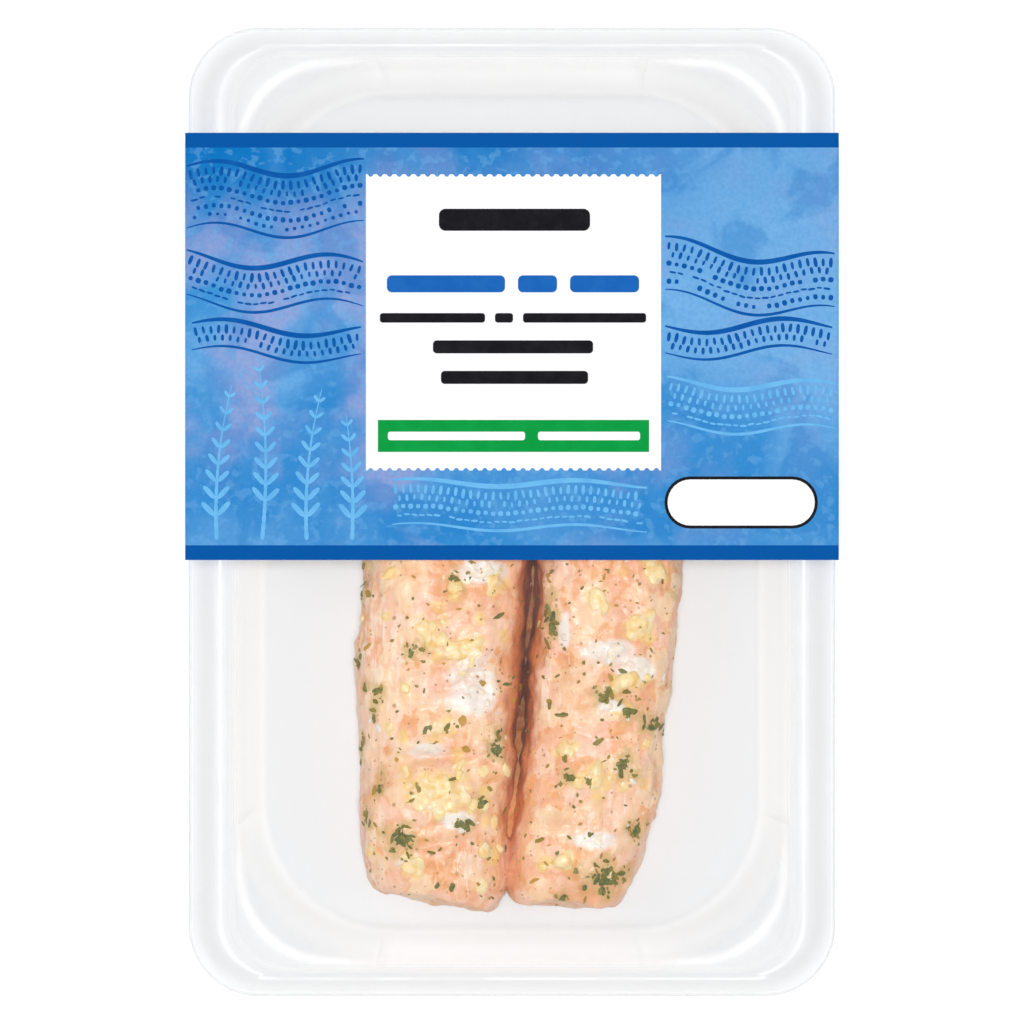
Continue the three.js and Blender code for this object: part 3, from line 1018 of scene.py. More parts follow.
@dataclass
class LidFilm:
    """The clear film sealed over the flange, with its weld band pressed a little lower."""

    finish: SealedFilm
    mouth: Level
    weld_width: float = 4.3
    inset: float = 0.35
    thickness: float = 0.08
    radius: float = 13.65
    weld_outer: float = 4.9
    weld_inner: float = 8.9
    weld_drop: float = 0.06
    corner_steps: int = 20

    def build(self, groups: SharedGroups) -> bpy.types.Object:
        """Model and dress the film."""
        low, high = (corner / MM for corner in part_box("lid_film"))
        lying = low.z

        def line(inset: float, drop: float) -> Level:
            """Return a line of the film by its inset from its edge."""
            return Level(high.x - inset, high.y - inset, self.radius - min(inset, 6), lying - drop)

        levels = [
            line(self.weld_inner + 0.4, 0.0),
            line(self.weld_inner, self.weld_drop),
            line(self.weld_outer, self.weld_drop),
            line(self.weld_outer - 0.4, 0.0),
            line(self.inset, 0.0),
        ]
        film = skin_through(levels, self.corner_steps)
        apply_modifier(film, "SOLIDIFY", thickness=self.thickness * MM, offset=1.0)
        settle(film, "lid_film_sheet")
        bpy.ops.object.shade_smooth_by_angle(angle=math.radians(50))
        film.data.materials.append(self.finish.build(groups, self.mouth, self.weld_width))
        return ride_pack(film, Slot.FILM, "lid_film")


# The sleeve and its print


@dataclass
class CardSleeve:
    """The card band: flat over the film, down the rim and in to a narrower bottom panel."""

    print_finish: WashedPrint
    card_finish: CardInk
    card: float = 0.4
    shoulder: float = 4.0
    bottom_width: float = 108.0
    fold_round: float = 0.7
    fold_steps: int = 5
    seam_at: float = 31.0
    seam_width: float = 0.5
    seam_depth: float = 0.16

    def build(self, groups: SharedGroups) -> bpy.types.Object:
        """Model and dress the sleeve."""
        low, high = (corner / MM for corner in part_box("sleeve"))
        size = high - low
        middle = Vector((0, (low.y + high.y) / 2, high.z)) * MM
        clear_selection()
        bpy.ops.mesh.primitive_plane_add(size=2 * MM, location=middle)
        band = bpy.context.object
        settle(band, "card_sleeve")
        bpy.ops.object.mode_set(mode="EDIT")
        bpy.ops.transform.resize(value=(size.x / 2, size.y / 2, 1), center_override=middle)
        in_by = size.x / 2 - self.bottom_width / 2
        for side in (-1, 1):
            self._select_edge(band, side * size.x / 2, high.z)
            bpy.ops.mesh.extrude_region_move(
                TRANSFORM_OT_translate={"value": (0, 0, -self.shoulder * MM)}
            )
            bpy.ops.mesh.extrude_region_move(
                TRANSFORM_OT_translate={"value": (-side * in_by * MM, 0, -(size.z - self.shoulder) * MM)}
            )
        bpy.ops.mesh.select_all(action="DESELECT")
        for side in (-1, 1):
            self._select_edge(band, side * self.bottom_width / 2, low.z, keep=True)
        bpy.ops.mesh.bridge_edge_loops()
        bpy.ops.mesh.select_all(action="SELECT")
        bpy.ops.mesh.normals_make_consistent(inside=False)
        bpy.ops.object.mode_set(mode="OBJECT")
        apply_modifier(
            band, "BEVEL", width=self.fold_round * MM, segments=self.fold_steps,
            limit_method="ANGLE", angle_limit=math.radians(12),
        )
        bpy.ops.object.mode_set(mode="EDIT")
        self._press_seam(band, low.z)
        bpy.ops.object.mode_set(mode="OBJECT")
        band.data.materials.append(self.print_finish.build(groups))
        band.data.materials.append(self.card_finish.build(groups))
        apply_modifier(
            band, "SOLIDIFY", thickness=self.card * MM, offset=-1.0,
            material_offset=1, material_offset_rim=1,
        )
        pick(band)
        bpy.ops.object.shade_smooth_by_angle(angle=math.radians(35))
        return ride_pack(band, Slot.SLEEVE, "sleeve")

    @staticmethod
    def _select_edge(band: bpy.types.Object, x: float, z: float, keep: bool = False) -> None:
        """Select the edge of the band that runs along Y at one place of its section.

        Args:
            band: The band in edit mode.
            x: Where the edge lies across, in millimetres.
            z: How high the edge lies, in millimetres.
            keep: Whether what is selected already stays selected.
        """
        def runs_there(edge: bmesh.types.BMEdge) -> bool:
            """Tell whether both ends of an edge lie at that place of the section."""
            ends = [vertex.co / MM for vertex in edge.verts]
            return all(abs(end.x - x) < 0.01 and abs(end.z - z) < 0.01 for end in ends)

        select_where(band, "edges", runs_there, keep)

    def _press_seam(self, band: bpy.types.Object, z: float) -> None:
        """Press a shallow line along the bottom panel, where the card's two ends are glued."""
        for edge_at in (self.seam_at - self.seam_width / 2, self.seam_at + self.seam_width / 2):
            bpy.ops.mesh.select_all(action="SELECT")
            bpy.ops.mesh.bisect(plane_co=(edge_at * MM, 0, 0), plane_no=(1, 0, 0))

        def in_seam(face: bmesh.types.BMFace) -> bool:
            """Tell whether a face lies in the strip."""
            centre = face.calc_center_median() / MM
            return abs(centre.x - self.seam_at) < self.seam_width and abs(centre.z - z) < 0.01

        select_where(band, "faces", in_seam)
        bpy.ops.mesh.inset(thickness=0.1 * MM)
        bpy.ops.transform.translate(value=(0, 0, self.seam_depth * MM))


@dataclass(frozen=True)
class Bar:
    """A flat printed bar: its middle, size and corner radius in millimetres."""

    x: float
    y: float
    width: float
    height: float
    radius: float = 0.3


@dataclass(frozen=True)
class Current:
    """A printed band of water: a bold crest, rows of dabs under it and a thin line below."""

    start: float
    end: float
    y: float
    rise: float
    crests: float
    phase: float
    slope: float
    rows: int
    seed: int = 1
    bold: float = 1.05
    fine: float = 0.6
    pitch: float = 1.5
    first_drop: float = 1.9
    row_drop: float = 1.75

    def height_at(self, share: float) -> float:
        """Return how high the crest runs at a share of its length."""
        turn = 2 * math.pi * self.crests * share + self.phase
        return self.y + self.slope * share + self.rise * math.sin(turn)

    def lean_at(self, share: float) -> float:
        """Return how steeply the crest runs at a share of its length, in radians."""
        step = 0.002
        climb = self.height_at(share + step) - self.height_at(share - step)
        return math.atan2(climb, 2 * step * (self.end - self.start))


@dataclass(frozen=True)
class Frond:
    """A printed sprig of weed: a curling stem with leaves in pairs."""

    x: float
    y: float
    length: float
    lean: float
    curl: float
    pairs: int
    leaf: float = 3.8


@dataclass
class SleevePrint:
    """What is printed on the sleeve's top: a white label with plain bars, bands of water and sprigs."""

    surface: float
    inks: dict[str, CardInk]
    lift: float = 0.03
    ink_thickness: float = 0.03
    label_middle: tuple[float, float] = (0.3, 37.9)
    label_size: tuple[float, float] = (59.0, 59.2)
    bite_pitch: float = 1.88
    bite_radius: float = 0.5
    bite_steps: int = 12
    line_steps: int = 90

    def build(self, groups: SharedGroups) -> None:
        """Model and dress every printed piece."""
        finishes = {name: ink.build(groups) for name, ink in self.inks.items()}
        dab = self._dab()
        for name, ink, currents in (
            ("bands_of_water", "dark", self._dark_currents()),
            ("low_bands_of_water", "light", self._light_currents()),
        ):
            dabs = [mark for current in currents for mark in self._current_marks(current, dab)]
            water = self._joined(name, join_copies("dabs", dabs), self._crests(currents))
            self._finish(water, finishes[ink], 0)
        leaves = [mark for frond in self._fronds() for mark in self._frond_marks(frond, dab)]
        weed = join_copies("weed_sprigs", leaves)
        bpy.data.objects.remove(dab)
        self._finish(weed, finishes["light"], 0)
        self._finish(self._label(), finishes["white"], 1)
        for name, ink, layer, bars in (
            ("label_bars_black", "black", 2, self._black_bars()),
            ("label_bars_blue", "blue", 2, self._line(45.6, 3.4, (-25.0, -1.4), (1.2, 9.0), (11.6, 25.4))),
            ("label_bar_green", "green", 2, [Bar(0.3, 15.2, 54.2, 6.4, 0.05)]),
            ("label_bars_white", "white", 3, self._line(15.2, 1.7, (-24.8, 2.6), (5.2, 25.6))),
            ("badge_edge", "black", 1, [Bar(45.8, 1.9, 30.6, 10.4, 5.1)]),
            ("badge_face", "white", 2, [Bar(45.8, 1.9, 29.4, 9.2, 4.55)]),
        ):
            self._finish(self._bars(name, bars), finishes[ink], layer)

    def _finish(self, piece: bpy.types.Object, material: bpy.types.Material, layer: int) -> None:
        """Give flat ink its thickness, its layer and its material.

        Args:
            piece: The flat piece at height 0.
            material: Its ink.
            layer: How many inks lie under it.
        """
        apply_modifier(piece, "SOLIDIFY", thickness=self.ink_thickness * MM, offset=1.0)
        pick(piece)
        piece.location.z = (self.surface + self.lift + layer * (self.ink_thickness + self.lift)) * MM
        settle(piece, piece.name)
        piece.data.materials.clear()
        piece.data.materials.append(material)
        ride_pack(piece, Slot.SLEEVE)

    @staticmethod
    def _dab() -> bpy.types.Object:
        """Return one flat dab with round ends, 2 units long and wide."""
        clear_selection()
        bpy.ops.mesh.primitive_plane_add(size=2)
        dab = bpy.context.object
        bpy.ops.object.mode_set(mode="EDIT")
        bpy.ops.mesh.bevel(affect="VERTICES", offset=0.8, segments=3, profile=0.5)
        bpy.ops.object.mode_set(mode="OBJECT")
        return dab

    @staticmethod
    def _placed(
        dab: bpy.types.Object, x: float, y: float, wide: float, long: float, turn: float, layer: int = 0,
    ) -> Copied:
        """Return a copy of the dab.

        Args:
            dab: The dab.
            x: Its middle across, in millimetres.
            y: Its middle along, in millimetres.
            wide: Its width, in millimetres.
            long: Its length, in millimetres.
            turn: How far it is turned, in radians.
            layer: How many strokes it may lie over.

        Returns:
            The copy.
        """
        spin = Matrix.Rotation(turn, 3, "Z").to_quaternion()
        size = Vector((wide / 2 * MM, long / 2 * MM, 1.0))
        return Copied(dab, Matrix.LocRotScale(Vector((x, y, layer * 0.004)) * MM, spin, size))

    def _current_marks(self, current: Current, dab: bpy.types.Object) -> list[Copied]:
        """Return the dabs in rows under a crest: hanging strokes, then spots, then a broken line."""
        draw = random.Random(current.seed)
        marks = []
        count = int((current.end - current.start) / current.pitch)
        kinds = ((0.66, 1.75), (0.6, 1.25), (0.95, 0.95), (1.3, 0.42), (0.85, 1.0), (0.7, 0.7))
        for row, (wide, long) in enumerate(kinds[:current.rows]):
            for i in range(count):
                share = (i + 0.5 + 0.5 * (row % 2)) / count
                skipped = draw.random() < 0.04 * row
                size = draw.uniform(0.82, 1.15)
                drop = current.first_drop + row * current.row_drop + draw.uniform(-0.12, 0.12)
                if skipped or share > 0.98:
                    continue
                x = current.start + (current.end - current.start) * share
                y = current.height_at(share) - drop
                lean = current.lean_at(share) + draw.uniform(-0.12, 0.12)
                marks.append(self._placed(dab, x, y, size * wide, size * long, lean))
        return marks

    def _crests(self, currents: list[Current]) -> list[bpy.types.Object]:
        """Return the bold and the fine line of every band."""
        lines = []
        for current in currents:
            drop = current.first_drop + current.row_drop * (current.rows - 1) + 1.7
            for below, width in ((0.0, current.bold), (drop, current.fine)):
                clear_selection()
                bpy.ops.mesh.primitive_grid_add(x_subdivisions=self.line_steps, y_subdivisions=1, size=2)
                line = bpy.context.object
                for vertex in line.data.vertices:
                    share = (vertex.co.x + 1) / 2
                    side = 1 if vertex.co.y > 0 else -1
                    swollen = width * (0.3 + 0.7 * math.sin(math.pi * share) ** 0.7)
                    vertex.co.x = (current.start + (current.end - current.start) * share) * MM
                    vertex.co.y = (current.height_at(share) - below + side * swollen / 2) * MM
                lines.append(line)
        return lines

    @staticmethod
    def _joined(name: str, piece: bpy.types.Object, others: list[bpy.types.Object]) -> bpy.types.Object:
        """Join other flat pieces to one and name it."""
        clear_selection()
        for other in others:
            other.select_set(True)
        piece.select_set(True)
        bpy.context.view_layer.objects.active = piece
        bpy.ops.object.join()
        piece.name = name
        return piece

    def _frond_marks(self, frond: Frond, dab: bpy.types.Object) -> list[Copied]:
        """Return the stem, drawn in short strokes, and the leaves of a sprig."""
        marks = []
        x, y = frond.x, frond.y
        steps = frond.pairs * 2
        stride = frond.length / steps
        for i in range(steps):
            share = i / steps
            heading = frond.lean + frond.curl * share
            x += math.sin(heading) * stride
            y += math.cos(heading) * stride
            marks.append(self._placed(dab, x, y, 0.75 * (1.2 - share), stride * 1.25, -heading, i % 2))
            if i % 2 or share < 0.1:
                continue
            reach = frond.leaf * (1.05 - 0.75 * share)
            for layer, side in ((2, -1), (3, 1)):
                turn = heading + side * 0.75
                middle = (x + math.sin(turn) * reach * 0.62, y + math.cos(turn) * reach * 0.62)
                marks.append(self._placed(dab, *middle, 0.22 * reach + 0.3, reach, -turn, layer))
        return marks

    def _bars(self, name: str, bars: list[Bar]) -> bpy.types.Object:
        """Return flat bars with rounded corners as one piece."""
        clear_selection()
        bpy.ops.mesh.primitive_plane_add(size=MM)
        piece = bpy.context.object
        piece.name = name
        bpy.ops.object.mode_set(mode="EDIT")
        bpy.ops.mesh.delete(type="VERT")
        for bar in bars:
            bpy.ops.mesh.select_all(action="DESELECT")
            middle = (bar.x * MM, bar.y * MM, 0)
            bpy.ops.mesh.primitive_plane_add(size=MM, location=middle)
            bpy.ops.transform.resize(value=(bar.width, bar.height, 1), center_override=middle)
            bpy.ops.mesh.bevel(affect="VERTICES", offset=bar.radius * MM, segments=8, profile=0.5)
        bpy.ops.object.mode_set(mode="OBJECT")
        return piece

    def _label(self) -> bpy.types.Object:
        """Return the white label, with small round bites out of its upper and lower edges."""
        bites = round(self.label_size[0] / self.bite_pitch)
        pitch = self.label_size[0] / bites
        clear_selection()
        bpy.ops.mesh.primitive_grid_add(x_subdivisions=bites * self.bite_steps, y_subdivisions=1, size=2)
        piece = bpy.context.object
        piece.name = "label_paper"
        half_width, half_height = (side / 2 for side in self.label_size)
        for vertex in piece.data.vertices:
            across = (vertex.co.x + 1) * half_width
            off = abs(across % pitch - pitch / 2)
            bite = math.sqrt(max(self.bite_radius**2 - off**2, 0.0))
            edge = 1 if vertex.co.y > 0 else -1
            vertex.co.x = (self.label_middle[0] - half_width + across) * MM
            vertex.co.y = (self.label_middle[1] + edge * (half_height - bite)) * MM
        return piece

    @staticmethod
    def _dark_currents() -> list[Current]:
        """Return the dark bands of water on both sides of the label."""
        return [
            Current(-65, -29.6, 68.5, 1.6, 1.2, 0.4, 0.5, 6, 1),
            Current(-65, -29.8, 51.0, 1.7, 1.1, 2.2, -1.5, 4, 2),
            Current(-64, -30.2, 37.5, 1.3, 1.1, 0.2, -1.5, 2, 3),
            Current(30.6, 64.5, 53.5, 1.7, 1.1, 1.2, -3.5, 5, 4),
            Current(30.6, 64.0, 37.0, 1.3, 1.1, 3.0, 0.5, 2, 5),
        ]

    @staticmethod
    def _light_currents() -> list[Current]:
        """Return the light bands of water below the label and over the badge."""
        return [
            Current(-24, 27, 6.0, 0.7, 1.6, 0.6, -0.5, 4, 6),
            Current(31, 64.5, 26.0, 1.2, 1.1, 2.0, -1.0, 4, 7),
        ]

    @staticmethod
    def _fronds() -> list[Frond]:
        """Return the light sprigs low on the left of the label and beside the badge."""
        return [
            Frond(-59, -6.2, 31, -0.05, 0.3, 9), Frond(-50, -6.2, 36, 0.1, -0.25, 11),
            Frond(-41, -6.2, 30, -0.05, 0.3, 9), Frond(-32, -6.2, 25, 0.05, -0.2, 8),
        ]

    @staticmethod
    def _line(y: float, height: float, *spans: tuple[float, float]) -> list[Bar]:
        """Return one line of plain bars, by its middle, its height and each bar's start and end."""
        return [
            Bar((start + end) / 2, y, end - start, height, min(end - start, height) * 0.3)
            for start, end in spans
        ]

    def _black_bars(self) -> list[Bar]:
        """Return the label's black bars."""
        return (
            self._line(58.4, 4.4, (-14.6, 15.6))
            + self._line(38.8, 1.9, (-26.4, -5.4), (-3.4, 0.2), (2.2, 26.8))
            + self._line(33.0, 2.6, (-15.8, 16.2))
            + self._line(26.9, 2.6, (-14.2, 15.2))
        )


# The fish


@dataclass(frozen=True)
class Patch:
    """A place where a topping lies thick: its middle, its size and how much lies there."""

    x: float
    y: float
    wide: float
    long: float
    amount: int = 1

    def weight(self, points: np.ndarray) -> np.ndarray:
        """Return how near each point is to the patch, from 0 outside it to 1 in its middle."""
        across = (points[:, 0] / MM - self.x) / (self.wide * 0.62)
        along = (points[:, 1] / MM - self.y) / (self.long * 0.62)
        return np.exp(-(across**2 + along**2))


@dataclass(frozen=True)
class Pull:
    """A grab on the flesh: its middle, its reach, and how far it moves across and along, in millimetres."""

    x: float
    y: float
    reach: float
    across: float
    along: float


@dataclass(frozen=True)
class Crease:
    """A line pressed into the flesh: its two ends, width and depth, in millimetres."""

    x: float
    y: float
    end_x: float
    end_y: float
    width: float
    depth: float


@dataclass
class Fillet:
    """One cooked fillet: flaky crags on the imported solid's form, and where its toppings lie."""

    name: str
    node: str
    herbs: list[Patch]
    crumbs: list[Patch]
    curds: list[Patch]
    streaks: list[Patch]
    pulls: list[Pull]
    creases: list[Crease]
    groove_side: int
    flank: float
    voxel: float = 0.5
    swell: float = 0.5
    still_height: float = 1.3
    free_over: float = 4.0
    groove_top: float = 3.5
    groove_depth: float = 6.0
    edge_reach: float = 9.0
    probe_height: float = 60.0
    piece: bpy.types.Object | None = field(default=None, repr=False)

    def build(self, finish: bpy.types.Material) -> bpy.types.Object:
        """Model and dress the fillet.

        Args:
            finish: The flesh that both fillets share.

        Returns:
            The fillet.
        """
        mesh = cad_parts[self.node].data.copy()
        fish = new_object(self.name, mesh)
        mesh.materials.clear()
        pick(fish)
        bpy.ops.object.mode_set(mode="EDIT")
        bpy.ops.mesh.select_all(action="SELECT")
        bpy.ops.mesh.remove_doubles(threshold=0.001 * MM)
        bpy.ops.object.mode_set(mode="OBJECT")
        apply_modifier(fish, "REMESH", mode="VOXEL", voxel_size=self.voxel * MM)
        apply_modifier(fish, "SMOOTH", factor=0.6, iterations=12)
        self._shape(fish)
        self._weigh_skin(fish)
        apply_modifier(
            fish, "DISPLACE", strength=self.swell * MM, mid_level=0.0, direction="NORMAL",
            vertex_group="skin",
        )
        calm = vertex_array(fish)
        flat = np.empty(len(fish.data.vertices) * 3)
        fish.data.vertices.foreach_get("normal", flat)
        for kind, size, height, middle in (
            ("CLOUDS", 9.0, 2.2, 0.5),
            ("VORONOI", 6.5, 1.1, 0.3),
            ("CLOUDS", 2.8, 0.7, 0.5),
            ("CLOUDS", 1.2, 0.25, 0.5),
        ):
            ruffle(fish, kind, size, height, middle, "skin")
        fish.vertex_groups.clear()
        risen = np.sum((vertex_array(fish) - calm) * flat.reshape(-1, 3), axis=1) / MM
        write_attribute(fish, "relief", risen)
        self._write_zones(fish)
        fish.data.materials.append(finish)
        settle(fish, self.name)
        bpy.ops.object.shade_smooth()
        self.piece = ride_pack(fish, Slot.SALMON, self.node)
        return fish

    def _shape(self, fish: bpy.types.Object) -> None:
        """Pull the flesh out to its corners and press its creases in."""
        points = vertex_array(fish) / MM
        for pull in self.pulls:
            off = (points[:, :2] - (pull.x, pull.y)) / pull.reach
            weight = np.exp(-np.sum(off**2, axis=1))
            points[:, 0] += weight * pull.across
            points[:, 1] += weight * pull.along
        middle = points[:, 2].mean()
        for crease in self.creases:
            start = np.array((crease.x, crease.y))
            run = np.array((crease.end_x, crease.end_y)) - start
            share = np.clip((points[:, :2] - start) @ run / (run @ run), 0, 1)
            off = points[:, :2] - start - share[:, None] * run
            weight = np.exp(-np.sum(off**2, axis=1) / crease.width**2) * (points[:, 2] > middle)
            points[:, 2] -= weight * crease.depth
        fish.data.vertices.foreach_set("co", (points * MM).ravel())
        fish.data.update()

    def _weigh_skin(self, fish: bpy.types.Object) -> None:
        """Mark how free each vertex is to move, from 0 on the underside to 1 above it."""
        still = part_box("tray")[0].z / MM + self.still_height
        heights = vertex_array(fish)[:, 2] / MM
        weights = np.clip((heights - still) / self.free_over, 0, 1)
        group = fish.vertex_groups.new(name="skin")
        for index, weight in enumerate(weights):
            group.add([index], float(weight), "REPLACE")

    def _write_zones(self, fish: bpy.types.Object) -> None:
        """Store where the skin is curdled white, streaked, stringy, or deep in the groove, where it takes
        painted shade.
        """
        points = vertex_array(fish)
        curd = np.clip(1.3 * sum(patch.weight(points) for patch in self.curds), 0, 1)
        streak = np.clip(0.25 + sum(patch.weight(points) for patch in self.streaks), 0, 1)
        low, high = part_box(self.node)
        depth = np.clip((high.z - self.groove_top * MM - points[:, 2]) / (self.groove_depth * MM), 0, 1)
        inner, outer = (high.x, low.x) if self.groove_side > 0 else (low.x, high.x)
        nearness = np.clip(1.2 - np.abs(points[:, 0] - inner) / (self.edge_reach * MM), 0, 1)
        edge = np.clip(1.15 - np.abs(points[:, 0] - outer) / (self.edge_reach * MM), 0, 1)
        open_share = np.interp(points[:, 1] / MM, (-80, -62, -46, -30), (0.15, 0.4, 0.85, 1.0))
        write_attribute(fish, "curd", curd)
        write_attribute(fish, "streak", streak)
        write_attribute(fish, "groove", depth * nearness * open_share)
        write_attribute(fish, "flank", 0.15 + self.flank * edge)

    def mark_near(self, name: str, spots: list[Vector], reach: float) -> None:
        """Store how near each place on the skin is to the nearest spot, from 0 far off to 1 at the spot.

        Args:
            name: The attribute's name.
            spots: The spots.
            reach: How far a spot is felt, in millimetres.
        """
        tree = search_tree(spots)
        away = np.array([tree.find(vertex.co)[2] for vertex in self.piece.data.vertices]) / MM
        write_attribute(self.piece, name, np.exp(-((away / reach) ** 2)))

    def touch(self, x: float, y: float) -> tuple[Vector, Vector] | None:
        """Find the skin under a point, in metres.

        Args:
            x: Where the point lies across.
            y: Where it lies along.

        Returns:
            The place on the skin and its normal, or None where there is no skin.
        """
        start = Vector((x, y, self.probe_height * MM))
        hit, place, normal, _ = self.piece.ray_cast(start, Vector((0, 0, -1)))
        return (place, normal) if hit else None


@dataclass
class GrooveShadeFolds:
    """Soft dark amber folds that fill the groove between the two fillets, as a sheet of painted shade."""

    finish: ToppingSkin
    line: tuple[tuple[float, float], ...] = (
        (-66.0, -0.5), (-50.0, 1.2), (-31.0, 2.7), (-15.0, 4.2), (10.0, 5.1), (35.0, 5.3), (55.0, 5.1),
    )
    half_width: float = 3.6
    height: float = 11.0
    lift: float = 3.6
    lift_from: float = -40.0
    lift_over: float = 16.0
    thickness: float = 2.4
    side_rise: float = 1.6
    steps_across: int = 14
    steps_along: int = 220

    def _middle_at(self, y: float) -> float:
        """Return where the groove lies across, at a place along."""
        places = [point[0] for point in self.line]
        return float(np.interp(y, places, [point[1] for point in self.line]))

    def _height_at(self, y: float) -> float:
        """Return how high the folds lie at a place along: higher where the groove runs out."""
        return self.height + self.lift * min(max((self.lift_from - y) / self.lift_over, 0.0), 1.0)

    def build(self, groups: SharedGroups) -> bpy.types.Object:
        """Model and dress the folds."""
        clear_selection()
        bpy.ops.mesh.primitive_grid_add(
            x_subdivisions=self.steps_across, y_subdivisions=self.steps_along, size=2,
        )
        folds = bpy.context.object
        start, end = self.line[0][0], self.line[-1][0]
        for vertex in folds.data.vertices:
            across = vertex.co.x
            y = start + (end - start) * (vertex.co.y + 1) / 2
            x = self._middle_at(y) + across * self.half_width
            vertex.co = Vector((x, y, self._height_at(y) + self.side_rise * across**2)) * MM
        apply_modifier(folds, "SOLIDIFY", thickness=self.thickness * MM, offset=-1.0)
        for size, height in ((5.0, 2.6), (1.8, 1.0)):
            ruffle(folds, "CLOUDS", size, height)
        settle(folds, "groove_juices")
        bpy.ops.object.shade_smooth()
        # Painted shade: the lower the folds lie, the darker their tone.
        places = vertex_array(folds) / MM
        heights = places[:, 2] - self.height - 0.5 * self.lift * np.clip(
            (self.lift_from - places[:, 1]) / self.lift_over, 0, 1,
        )
        write_attribute(folds, "tone", np.clip(0.35 + 0.3 * heights, 0, 1))
        folds.data.materials.append(self.finish.build(groups))
        return ride_pack(folds, Slot.SALMON)


@dataclass(frozen=True)
class Scatter:
    """One kind of topping: its sizes in millimetres, how deep it sits, and how its copies spread.

    The sizes are drawn between least and most times the length, width and thickness. A merge above 0
    melts the copies together at that grain. A mark is the attribute that tells the skin how near they lie.
    """

    name: str
    patches: str
    length: float
    width: float
    thickness: float
    least: float
    most: float
    sink: float
    rise: float
    per_patch: float
    loose: int
    patch_tone: tuple[float, float]
    loose_tone: tuple[float, float]
    tilt: float = 0.0
    merge: float = 0.0
    mark: str = ""
    mark_reach: float = 1.5


